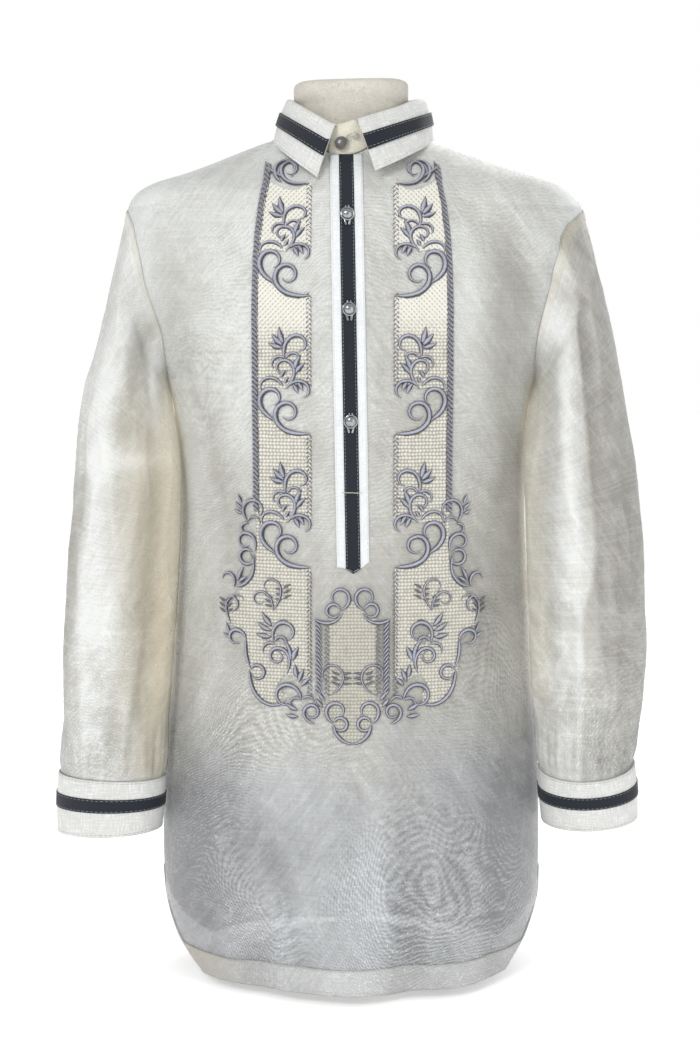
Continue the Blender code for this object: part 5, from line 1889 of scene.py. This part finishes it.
# %% [markdown]
# ## Placket
#
# A barong opens only part of the way down. The opening's strip is the crisp cloth, its lower end cut
# slanting, with the ribbon sewn down its middle and ending in a point. A short bar of stitches holds
# the bottom of the opening.

# %% Placket and its ribbon
PLACKET_WALL = 0.0010
ON_FRONT = 0.0003
BARTACK_HEIGHT = 0.5070
BARTACK_WIDTH = 0.022
PLACKET_HEAD = 0.8320  # where the strip runs up under the collar's stand


def placket_x(height):
    """The placket's centre line, which hangs a little out of true."""
    return 0.0020 - (height - 0.440) * 0.0172


def placket_foot(across):
    """How far the strip's lower edge stands above its lowest point, at a share across it."""
    return 0.0010 + 0.0060 * soft_step((across - 0.70) / 0.32) + 0.0012 * (1 - soft_step(across / 0.3))


def strip_point(across, up, width, foot, out):
    height = foot + (PLACKET_HEAD - foot) * up
    return front_point(placket_x(height) + (across - 0.5) * width, height, out)


def placket_strip(across, up):
    return strip_point(across, up, PLACKET_WIDTH, PLACKET_BOTTOM + placket_foot(across), ON_FRONT)


def placket_trim(across, up):
    point = PLACKET_POINT * (1 - abs(2 * across - 1))
    out = ON_FRONT + PLACKET_WALL + 0.0002
    return strip_point(across, up, RIBBON_WIDTH, PLACKET_BOTTOM - point + 0.001, out)


size = (16, 190, placket_strip, (PLACKET_WIDTH, 0.40))
look = (crisp_white, "crisp_cloth", ["placket"])
placket_cloth = sheet("placket_cloth", *size, *look, wall=PLACKET_WALL)
size = (8, 190, placket_trim, (RIBBON_WIDTH, 0.40))
look = (ribbon, "navy_ribbon", ["placket_ribbon"])
placket_band = sheet("placket_band", *size, *look, wall=RIBBON_WALL)


def down_line(offset, low, high, out):
    """A line down the placket, at a distance from its centre."""

    def place(along):
        height = high - along
        return front_frame(placket_x(height) + offset, height, out)

    return place, high - low


ON_TRIM = ON_FRONT + PLACKET_WALL + 0.0002 + RIBBON_WALL
line_bm = bmesh.new()
for offset in (-RIBBON_WIDTH / 2 + 0.0014, RIBBON_WIDTH / 2 - 0.0014):
    place, length = down_line(offset, PLACKET_BOTTOM + 0.001, PLACKET_TOP - 0.004, ON_TRIM)
    stitch_row(line_bm, place, length, width=0.00045, rise=0.00025)
for side in (-1, 1):
    corner = placket_x(PLACKET_BOTTOM) + side * (RIBBON_WIDTH / 2 - 0.0014)
    tip_x = placket_x(PLACKET_BOTTOM)
    path = []
    for k in range(7):
        height = PLACKET_BOTTOM + 0.001 - 0.0032 * k / 6
        path.append(front_frame(corner + (tip_x - corner) * k / 6, height, ON_TRIM))
    add_stroke(line_bm, path, 0.0005, 0.0003, 5, thin=0.8)
welded(line_bm)
placket_stitches = finished("placket_stitches", line_bm, pale_thread, "navy_ribbon")

ON_STRIP = ON_FRONT + PLACKET_WALL
edge_bm = bmesh.new()
for offset in (-PLACKET_WIDTH / 2 + 0.0016, PLACKET_WIDTH / 2 - 0.0016):
    place, length = down_line(offset, PLACKET_BOTTOM + 0.010, PLACKET_TOP - 0.002, ON_STRIP)
    stitch_row(edge_bm, place, length, width=0.0004, rise=0.0002)
bar = []
for k in range(25):
    x = placket_x(BARTACK_HEIGHT) + (k / 24 - 0.5) * BARTACK_WIDTH
    over = abs(k / 24 - 0.5) * BARTACK_WIDTH < RIBBON_WIDTH / 2
    out = ON_TRIM if over else ON_STRIP
    bar.append(front_frame(x, BARTACK_HEIGHT + 0.0004, out + 0.0001))
add_stroke(edge_bm, bar, 0.0008, 0.0005, 6, thin=0.9)
welded(edge_bm)
placket_edges = finished("placket_edges", edge_bm, cream_thread, "crisp_cloth")

# %% [markdown]
# ## Buttons and studs
#
# Round things are turned. A profile is spun once round an axis and the seam of the spin is merged.
# Each stud is a polished dome in a raised ring, held by two pairs of slanting claws, the lower pair
# longer.


# %% Turned pieces
def turned(bm, profile, steps):
    """Spins a profile of (radius, height) once round the Z axis and returns its new points."""
    before = set(bm.verts)
    verts = [bm.verts.new((radius, 0.0, height)) for radius, height in profile]
    edges = [bm.edges.new(pair) for pair in zip(verts, verts[1:])]
    spin = {"cent": (0, 0, 0), "axis": (0, 0, 1), "angle": TAU, "steps": steps}
    bmesh.ops.spin(bm, geom=verts + edges, use_merge=True, **spin)
    made = [vert for vert in bm.verts if vert not in before]
    bmesh.ops.remove_doubles(bm, verts=made, dist=0.00001)
    return [vert for vert in bm.verts if vert not in before]


def stood_up(bm, verts, point, normal):
    """Stands points modelled along +Z on a surface, their +Y kept upright."""
    across = Vector((0, 0, 1)).cross(normal).normalized()
    frame_here = Matrix((across, normal.cross(across), normal)).transposed()
    for vert in verts:
        vert.co = point + frame_here @ vert.co


def arc(radius, low, high, top, steps):
    """A dome's profile from its crown out to its rim."""
    return [
        (
            radius * math.sin(math.pi / 2 * k / steps),
            low + (top - low) * math.cos(math.pi / 2 * k / steps) ** high,
        )
        for k in range(steps + 1)
    ]


# %% Studs
STUD_BASE = ON_TRIM + 0.0001
Claw = namedtuple("Claw", "x y tilt length width")
CLAWS = (
    Claw(-0.0022, -0.0079, 14, 0.0064, 0.0020),
    Claw(0.0022, -0.0079, -14, 0.0064, 0.0020),
    Claw(-0.0017, 0.0068, -20, 0.0030, 0.0014),
    Claw(0.0017, 0.0068, 20, 0.0030, 0.0014),
)
CLAW_BEVEL = {"offset": 0.0005, "offset_type": "OFFSET", "affect": "EDGES", "segments": 3}
CLAW_BEVEL |= {"profile": 0.5, "material": -1}
for index, height in enumerate(BUTTON_HEIGHTS, start=1):
    bm = bmesh.new()
    turned(bm, arc(0.0052, 0.0022, 1.0, 0.0058, 10) + [(0.0050, 0.0008)], 40)
    ring = [
        (0.0060 + 0.0009 * math.cos(TAU * k / 10), 0.0016 + 0.0009 * math.sin(TAU * k / 10))
        for k in range(11)
    ]
    turned(bm, ring, 40)
    for claw in CLAWS:
        made = bmesh.ops.create_cube(bm, size=1.0)["verts"]
        edges = list({edge for vert in made for edge in vert.link_edges})
        bmesh.ops.scale(bm, verts=made, vec=(claw.width, claw.length, 0.0018))
        turn = Matrix.Rotation(math.radians(claw.tilt), 3, "Z")
        bmesh.ops.rotate(bm, verts=made, cent=(0, 0, 0), matrix=turn)
        bmesh.ops.translate(bm, verts=made, vec=(claw.x, claw.y, 0.0010))
        bmesh.ops.bevel(bm, geom=edges, **CLAW_BEVEL)
    point, normal = front_frame(placket_x(height), height, STUD_BASE)
    stood_up(bm, list(bm.verts), point, normal)
    outward(bm)
    name = f"stud_{index}"
    finished(name + "_metal", bm, stud_metal, "stud_metal", [name], sharp=50)


# %% Sewn buttons
def sewn_button(name, point, normal, radius, node):
    """A domed shell button with a raised rim."""
    bm = bmesh.new()
    rim = arc(radius * 0.70, 0.0022, 1.0, 0.0031, 6)
    rim += [(radius * 0.80, 0.0026), (radius * 0.93, 0.0027), (radius, 0.0018)]
    rim += [(radius * 0.95, 0.0006), (radius * 0.60, 0.0)]
    turned(bm, rim, 44)
    stood_up(bm, list(bm.verts), point, normal)
    outward(bm)
    return finished(name, bm, shell, "shell_button", [node], sharp=45)


point, normal = tab_frame(COLLAR_BUTTON_TURN + 2.4, 0.38, 0.0004)
neck_button = sewn_button("neck_button", point, normal, 0.0066, "collar_button")
for hand in ("left", "right"):
    sign = -1 if hand == "left" else 1
    low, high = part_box("cuff_button_" + hand)
    centre = (Vector(low) + Vector(high)) / 2
    top = SLEEVE[hand][-1]
    middle = Vector((sign * (top.out_x + top.in_x) / 2, top.mid_y, centre.z))
    normal = (centre - middle).normalized()
    name = "cuff_button_" + hand
    base = centre - normal * 0.0012
    sewn_button(name + "_shell", base, normal, 0.0062, name)

# %% [markdown]
# ## Openwork fields
#
# In calado, threads are drawn out of the cloth and those that stay are bound into a lattice: small
# slanting holes on the chest, and rows of pads lower down. The relief is a fine grid over the front,
# raised where a pad is and low in each hole. Round each spray of scrolls the plain cloth is left, so
# those faces are taken out.

# %% Openwork relief
CELL_X = 4.9  # millimetres
CELL_Z = 5.0
PAD_RISE = 0.0009
ROWS_BELOW, SLANTS_ABOVE = 640.0, 700.0  # between these heights the one changes to the other
Root = namedtuple("Root", "x z stretch")
PAD = 3.4  # the pads' spacing, in millimetres
SPRAY_ROOTS = (Root(-64.0, 737.3, 0.84), Root(-64.0, 606.4, 1.0), Root(-63.4, 477.4, 1.0))
SPRAY_WINDOW = (
    (25, -43), (12, -45), (0, -43), (-10, -34), (-20, -25), (-24, -14), (-23, -5),
    (-17, 0), (-11, 2), (0, 0), (10, 4), (18, 6), (25, 2),
)
TOP_WINDOW = (
    (-92, 835), (-84, 809), (-76, 803), (-66, 798), (-56, 796), (-42, 802), (-34, 803), (-34, 835),
)
# Lower down, the plain cloth shows round the bottom spray, inside its curls and round the hook.
LOW_WINDOWS = (
    (
        (-73, 320), (-66, 329), (-53, 325), (-46, 322), (-36, 322), (-36, 295), (-69, 295), (-68, 310),
    ),
    (
        (-75, 372), (-74, 380), (-66, 384), (-60, 379), (-59, 370), (-64, 362), (-70, 358), (-73, 363),
    ),
    ((-126, 374), (-116, 374), (-105, 367), (-104, 349), (-126, 349)),
    ((-110, 330), (-99, 330), (-98, 313), (-90, 303), (-80, 300), (-80, 290), (-110, 290)),
)
# On both sides of the centre field, the plain cloth under the braids and the lower scrolls.
BRAID_WINDOWS = [
    tuple((sign * x, z) for x, z in window)
    for sign in (1, -1)
    for window in (
        ((40, 386), (23, 386), (23, 304), (40, 296)),
        ((40, 304), (30, 297), (26, 287), (19, 281), (17, 271), (9, 264), (9, 255), (40, 255)),
    )
]


def lattice_offset(x, z):
    """The distances in millimetres to the nearest point of the lattice, whose rows are staggered."""
    best = (9.0, 9.0)
    for shift in (0.0, 0.5):
        off_x = (x / CELL_X + shift) - round(x / CELL_X + shift)
        off_z = (z / CELL_Z + shift) - round(z / CELL_Z + shift)
        near = (off_x * CELL_X, off_z * CELL_Z)
        best = min(best, near, key=lambda pair: math.hypot(*pair))
    return best


def pad_height(x, z):
    """The openwork's relief at a place in millimetres, from 0 in a hole to 1 on a pad."""
    wobble = rough(x * 0.11, z * 0.11, 5.0) * 0.5
    off_x, off_z = lattice_offset(x + wobble, z + wobble * 0.7)
    along = off_x * 0.64 + off_z * 0.77
    aside = off_x * 0.77 - off_z * 0.64
    slanted = 1 - 0.92 * math.exp(-((aside / 0.66) ** 2) - (along / 1.45) ** 2)
    column = (x + wobble) / PAD + 0.22 * (round((z + wobble) / PAD) % 2)
    box_x = column - round(column)
    box_z = (z + wobble) / PAD - round((z + wobble) / PAD)
    full = 0.72 + 0.28 * rough(round(x / PAD) * 1.7, round(z / PAD) * 2.3, 8.0)
    rows = 0.10 + full * math.exp(-((box_x / 0.50) ** 2) - abs(box_z / 0.40) ** 2.5)
    return rows + (slanted - rows) * soft_step((z - ROWS_BELOW) / (SLANTS_ABOVE - ROWS_BELOW))


def inside(corners, x, z):
    """Whether a place is inside a polygon."""
    crossed = False
    for (x1, z1), (x2, z2) in zip(corners, corners[1:] + corners[:1]):
        if (z1 > z) != (z2 > z) and x < x1 + (z - z1) / (z2 - z1) * (x2 - x1):
            crossed = not crossed
    return crossed


def sheet_place(co, sign):
    """A point of the front in the left half's millimetres, from the embroidery's middle line."""
    return (co.x - CALADO_SHIFT) * 1000 * sign, co.z * 1000


def openwork_field(name, table, sign, columns, rows, windows):
    """One field. sign is 1 on the viewer's left and centre, and -1 where the pattern is mirrored."""
    curves = CALADO_CURVES[table]
    top, bottom = curves["inner"].high, curves["inner"].low

    def place(across, up):
        height = bottom + (top - bottom) * up
        inner, outer = curves["inner"](height), curves["outer"](height)
        if table == "centre":
            x = inner + (outer - inner) * across
        else:
            x = -(outer + (inner - outer) * across)
        x = x * sign
        rise = pad_height(x * sign * 1000, height * 1000)
        return front_point(x + CALADO_SHIFT, height, 0.0004 + PAD_RISE * rise)

    bm = bmesh.new()
    layer = bm.verts.layers.float.new("pad")
    flow = (lambda across, up: place(1 - across, up)) if sign < 0 else place
    moved_grid(bm, columns, rows, flow, lambda co: (co.x, co.z))
    for vert in bm.verts:
        vert[layer] = pad_height(*sheet_place(vert.co, sign))
    gone = []
    for face in bm.faces:
        x, z = sheet_place(face.calc_center_median(), sign)
        if any(inside(window, x, z) for window in windows):
            gone.append(face)
    bmesh.ops.delete(bm, geom=gone, context="FACES")
    return finished(name + "_work", bm, openwork, "openwork", [name], sharp=180)


side_windows = [tuple((root.x + x, root.z + z) for x, z in SPRAY_WINDOW) for root in SPRAY_ROOTS]
side_windows += [TOP_WINDOW, *LOW_WINDOWS]
fields = {
    "calado_left": openwork_field("calado_left", "side", 1, 96, 640, side_windows),
    "calado_right": openwork_field("calado_right", "side", -1, 96, 640, side_windows),
    "calado_centre": openwork_field("calado_centre", "centre", 1, 100, 190, BRAID_WINDOWS),
}

# %% [markdown]
# ## Scrolls, leaves and borders
#
# The vines are drawn as an embroiderer draws them, with a pen that turns as it moves. A scroll
# starts with a heading and turns more and more tightly, which winds up its end. Three sprays stand
# one above another on each side, and the right side is the left mirrored.

# %% Scroll tables
HALVES = (("left", 1), ("right", -1))
Scroll = namedtuple("Scroll", "x z heading turn bend length width")
Leaf = namedtuple("Leaf", "x z heading length width")
# Millimetres and degrees, from a spray's root. Heading 0 points to the placket and 90 up.
SPRAY = listed(
    Scroll,
    (-0.8, 29, 96, -290, 1.75, 53, 3.4),
    (0.6, 29, 62, -200, 1.4, 22, 2.4),
    (0, 29.5, 150, 165, 1.2, 22, 2.6),
    (0, 0, 48, 390, 1.9, 62, 3.2),
    (-2, 2.5, 125, 185, 1.5, 35, 3),
    (2, 2.5, 42, -212, 1.5, 37, 3),
    (-10.4, -29.9, 150, -320, 1.7, 65, 4.4),
    (23.4, -42.3, 183, -430, 1.95, 92, 4.2),
)
SPRAY_LEAVES = listed(
    Leaf,
    (-1.6, 43, 104, 15, 4.8),
    (-2, 41.5, 134, 14, 4.6),
    (-2.5, 39, 160, 13, 4.2),
    (8.5, 17, 68, 15, 4.5),
    (9.2, 14, 48, 13, 4),
    (-4.2, 10.8, 58, 7.5, 3.4),
    (-0.8, 5.2, 60, 7, 3.2),
    (7, 5.5, -62, 10, 3.8),
    (11.5, 7, -58, 9, 3.6),
)
# Over the top of each side band.
CROWN = listed(
    Scroll,
    (-84, 820, -42, 22, 1, 26, 2.8),
    (-67.5, 803.5, 150, -300, 1.2, 54, 3.6),
    (-43, 802.5, 187, -420, 1.9, 70, 3.6),
)
# Round the lower half of each side, from the outside inwards.
BORDER = listed(
    Scroll,
    (-101.1, 476.7, 130, -290, 1.35, 52, 2.9),
    (-101.1, 476.7, 78, -190, 1.1, 20, 2),
    (-100.4, 475.3, 170, 215, 1.2, 19, 2.4),
    (-94.6, 448.1, 74, 335, 1.5, 48, 3.2),
    (-113.4, 412.9, 6, 118, 0.9, 44, 3.2),
    (-96.5, 447, 128, 352, 1, 44, 3.2),
    (-116, 412, 70, 225, 1.6, 28, 2.8),
    (-118.8, 375.5, 112, -200, 2.2, 46, 1.9),
    (-119.4, 387.6, 15, 300, 1.3, 36, 1.9),
    (-103.6, 360.7, 100, 300, 1.3, 40, 3.4),
    (-103.6, 361.5, -98, 35, 1, 31, 3.3),
    (-100.6, 331.4, -86, 140, 1.7, 60, 3.5),
    (-98.9, 331.4, 78, -345, 1, 40, 3),
)
# Inside the field: a sprig of two curls, and two sprays.
FIELD = listed(
    Scroll,
    (-76.9, 390.9, 92, 350, 1.9, 50, 2),
    (-76.9, 390.9, 58, 295, 2.3, 56, 2),
    (-75.6, 360.1, 112, -300, 1.35, 54, 3.4),
    (-75.3, 360, 80, -200, 1.2, 20, 2.4),
    (-74.8, 358.5, 155, 150, 1.2, 20, 2.6),
    (-64, 329.7, 68, 480, 1.8, 70, 3.2),
    (-60, 342.6, 84, 60, 1.2, 24, 3.6),
    (-49.5, 304.4, 97, 315, 1.3, 61, 3.4),
    (-49.5, 304.4, 140, 175, 1.2, 19, 2.2),
    (-48.8, 305.2, 52, -140, 1.1, 16, 2.2),
    (-36.3, 281.4, 168, -450, 1.4, 57, 3),
)
# Round the centre field, and a curl inside it.
CENTRE = listed(
    Scroll,
    (-36.8, 384.8, -38, 108, 1.1, 33, 2.8),
    (-11.9, 393.4, 95, 350, 1, 39, 2.8),
    (-11.9, 393.2, 22, 330, 1.3, 52, 2.8),
    (-18.3, 282, 148, -310, 1.3, 49, 3.4),
    (-17.9, 282.3, 80, -350, 1, 39, 3.2),
    (-18.2, 281.4, -88, 88, 1, 31, 3.2),
    (-22.4, 309.5, 30, 375, 1.6, 74, 1.9),
)
LOW_LEAVES = listed(
    Leaf,
    (-106.9, 495.1, 113, 9, 3),
    (-106.6, 489.4, 138, 9, 3),
    (-107.1, 484.6, 154, 8, 2.8),
    (-111.7, 418.4, 66, 14, 3.8),
    (-110.8, 417, 36, 9, 3.4),
    (-119.8, 366.7, 108, 10, 2.8),
    (-120.3, 362.4, 142, 7, 2.6),
    (-78, 376, 125, 15, 4.6),
    (-78.6, 371.3, 150, 14, 4.4),
    (-78.4, 365.3, 170, 14, 4.2),
    (-58, 342.6, 67, 14, 4.8),
    (-53.4, 326.2, 98, 12, 4.2),
    (-52, 322, 68, 13, 4.2),
    (-49.6, 318.1, 44, 11, 4),
    (-52.9, 294.4, 150, 12, 4),
    (-52.2, 288, 171, 12, 3.8),
    (-28.6, 298.2, 128, 10, 3.6),
    (-26.5, 304.4, 124, 10, 3.2),
)
Comb = namedtuple("Comb", "x z heading length count drop")
# Small dark leaves in rows, like the teeth of a comb, each row's places dropping evenly.
COMBS = listed(
    Comb,
    (-66.8, 413.5, 30, 8.0, 3, 5.2),
    (-67.6, 413.0, 176, 6.5, 3, 5.2),
    (-76.5, 404.5, 165, 8.0, 3, 4.6),
    (-124.0, 397.5, 145, 7.0, 3, 5.2),
    (-123.2, 397.0, 35, 7.0, 3, 5.2),
    (-11.0, 330.5, 6, 9.5, 3, 5.0),
    (-12.0, 330.0, 154, 8.5, 3, 5.0),
)


# %% Drawing strokes on the front
STROKE_OUT = 0.0013
STROKE_RISE = 0.0014
STROKE_FULL, LEAF_FULL = 1.30, 1.50  # the stitches spread a little over the drawn width


def scroll_places(scroll, root=Root(0.0, 0.0, 1.0), step=0.9):
    """The places that a scroll runs through, in millimetres."""
    count = max(8, round(scroll.length / step))
    x, z = scroll.x, scroll.z
    places = [(x, z)]
    for k in range(count):
        share = (k + 0.5) / count
        heading = math.radians(scroll.heading + scroll.turn * share**scroll.bend)
        x += math.cos(heading) * scroll.length / count
        z += math.sin(heading) * scroll.length / count
        places.append((x, z))
    return [(root.x + x, root.z + z * (root.stretch if z > 0 else 1.0)) for x, z in places]


def on_front(places, sign, out=STROKE_OUT):
    """Places in the left half's millimetres, as points and directions on the front."""
    return [front_frame(x * sign / 1000 + CALADO_SHIFT, z / 1000, out) for x, z in places]


def draw_scroll(bm, scroll, sign, root=Root(0.0, 0.0, 1.0), out=STROKE_OUT):
    path = on_front(scroll_places(scroll, root), sign, out)
    add_stroke(bm, path, scroll.width / 1000 * STROKE_FULL, STROKE_RISE)


def draw_leaf(bm, leaf, sign, root=Root(0.0, 0.0, 1.0), out=STROKE_OUT + 0.0002):
    heading = math.radians(leaf.heading)
    places = []
    for k in range(9):
        run = leaf.length * 1.15 * k / 8
        bow = 0.06 * leaf.length * math.sin(math.pi * k / 8)
        x = root.x + leaf.x + run * math.cos(heading) - bow * math.sin(heading)
        z = root.z + leaf.z * root.stretch + run * math.sin(heading) + bow * math.cos(heading)
        places.append((x, z))
    path = on_front(places, sign, out)
    add_stroke(bm, path, leaf.width / 1000 * LEAF_FULL, STROKE_RISE, tips=(0.5, 0.6), thin=0.6)


vines = {}
combs = {}
for hand, sign in HALVES:
    bm = bmesh.new()
    for root in SPRAY_ROOTS:
        for scroll in SPRAY:
            draw_scroll(bm, scroll, sign, root)
        for leaf in SPRAY_LEAVES:
            draw_leaf(bm, leaf, sign, root)
    for scroll in CROWN + BORDER + FIELD + CENTRE:
        draw_scroll(bm, scroll, sign)
    for leaf in LOW_LEAVES:
        draw_leaf(bm, leaf, sign)
    welded(bm)
    vines[hand] = finished("vines_" + hand, bm, thread, "openwork", sharp=180)
    bm = bmesh.new()
    for comb in COMBS:
        for k in range(comb.count):
            tooth = Leaf(comb.x, comb.z - comb.drop * k, comb.heading, comb.length, 1.9)
            draw_leaf(bm, tooth, sign)
    welded(bm)
    combs[hand] = finished("combs_" + hand, bm, dark_thread, "openwork", sharp=180)

# %% [markdown]
# ## Rope and stitch borders
#
# Down the outer side of each band runs a rope: a dark cord with slanting satin stitches over it.
# Down the inner side run two close columns of small slanting stitches. They run along the centre
# field too, with a braid of longer stitches between.

# %% Borders
ROPE_TOP, ROPE_FOOT = 824.0, 486.0
ROPE_PITCH = 4.6
Zigzag = namedtuple("Zigzag", "x top foot")
ZIGZAGS = listed(
    Zigzag,
    (-41.6, 803, 738),
    (-41.6, 698, 610),
    (-41.6, 565, 482),
    (-41.6, 433, 308),
    (-24.8, 380, 308),
)
BRAID_X, BRAID_TOP, BRAID_FOOT, BRAID_PITCH = -32.5, 378.0, 306.0, 4.2


def rope_x(z):
    """The rope's middle, in the left half's millimetres."""
    over = max(z - 812.0, 0.0)
    return -CALADO_CURVES["side"]["outer"](z / 1000) * 1000 + 1.0 + over * 0.1


ropes = {}
for hand, sign in HALVES:
    bm = bmesh.new()
    core = []
    for k in range(170):
        z = ROPE_TOP + (ROPE_FOOT - ROPE_TOP) * k / 169
        core.append((rope_x(z), z))
    add_stroke(bm, on_front(core, sign, 0.0006), 0.0058, 0.0008, tips=(0.004, 0.004), thin=1.0)
    for k in range(int((ROPE_TOP - ROPE_FOOT) / ROPE_PITCH)):
        z = ROPE_TOP - 3.0 - k * ROPE_PITCH
        places = []
        for i in range(9):
            t = i / 8 - 0.5
            slant = math.copysign(abs(2 * t) ** 1.5, t) / 2
            places.append((rope_x(z) + 6.4 * t, z - 9.5 * slant * sign))
        path = on_front(places, sign, 0.0014)
        add_stroke(bm, path, 0.0034, 0.0012, around=7, tips=(0.3, 0.3), thin=0.7)
    welded(bm)
    ropes[hand] = finished("rope_" + hand, bm, rope_thread, "openwork", sharp=180)

stitches = {}
braids = {}
for hand, sign in HALVES:
    bm = bmesh.new()
    for line in ZIGZAGS:
        for k in range(int((line.top - line.foot) / 2.2)):
            z = line.top - 1.5 - k * 2.2
            shift = 1.4 if k % 2 else -1.4
            lean = 1 if k % 2 else -1
            places = [(line.x + shift + 1.6 * t, z + lean * -1.5 * t) for t in (-1, -0.4, 0.3, 1)]
            path = on_front(places, sign, 0.0010)
            add_stroke(bm, path, 0.0013, 0.0009, around=6, tips=(0.3, 0.3), thin=0.7)
    welded(bm)
    stitches[hand] = finished("stitches_" + hand, bm, rope_thread, "openwork", sharp=180)
    bm = bmesh.new()
    for k in range(int((BRAID_TOP - BRAID_FOOT) / BRAID_PITCH)):
        z = BRAID_TOP - k * BRAID_PITCH
        places = [(BRAID_X + 3.8 * t, z - 5.0 * t) for t in (-1, -0.6, -0.2, 0.2, 0.6, 1)]
        path = on_front(places, sign, 0.0012)
        add_stroke(bm, path, 0.0025, 0.0011, around=8, tips=(0.4, 0.4), thin=0.5)
    welded(bm)
    braids[hand] = finished("braid_" + hand, bm, thread, "openwork", sharp=180)

# %% [markdown]
# ## Floor
#
# A pale floor that runs out to the horizon, with a faint unevenness, so the base has something to
# stand on and the form keeps a soft shadow.

# %% Floor
floor_paint = Paint("studio_floor", {"Specular IOR Level": 0.1})
where = floor_paint.place()
dust = floor_paint.cloud(where, 1.5, 2.0)
floor_tone = floor_paint.mix(dust, (0.93, 0.93, 0.93, 1.0), (0.96, 0.96, 0.955, 1.0))
floor_paint.shader.inputs["Emission Strength"].default_value = 0.42
floor_paint.feed(floor_tone, (dust * 0.1 + 0.85).held(), Emission_Color=floor_tone)
floor_bm = bmesh.new()
bmesh.ops.create_grid(floor_bm, x_segments=2, y_segments=2, size=14.0)
floor_mesh = bpy.data.meshes.new("floor")
floor_bm.to_mesh(floor_mesh)
floor_bm.free()
floor_mesh.materials.append(floor_paint.material)
floor = bpy.data.objects.new("floor", floor_mesh)
bpy.context.scene.collection.objects.link(floor)
print("floor laid")

# %% [markdown]
# ## The embroidery's pieces
#
# The pieces of embroidery are gathered into one list.

# %% Embroidery pieces
embroidery = [
    piece
    for kind in (fields, vines, combs, ropes, stitches, braids)
    for piece in kind.values()
]
for hand in ("left", "right"):
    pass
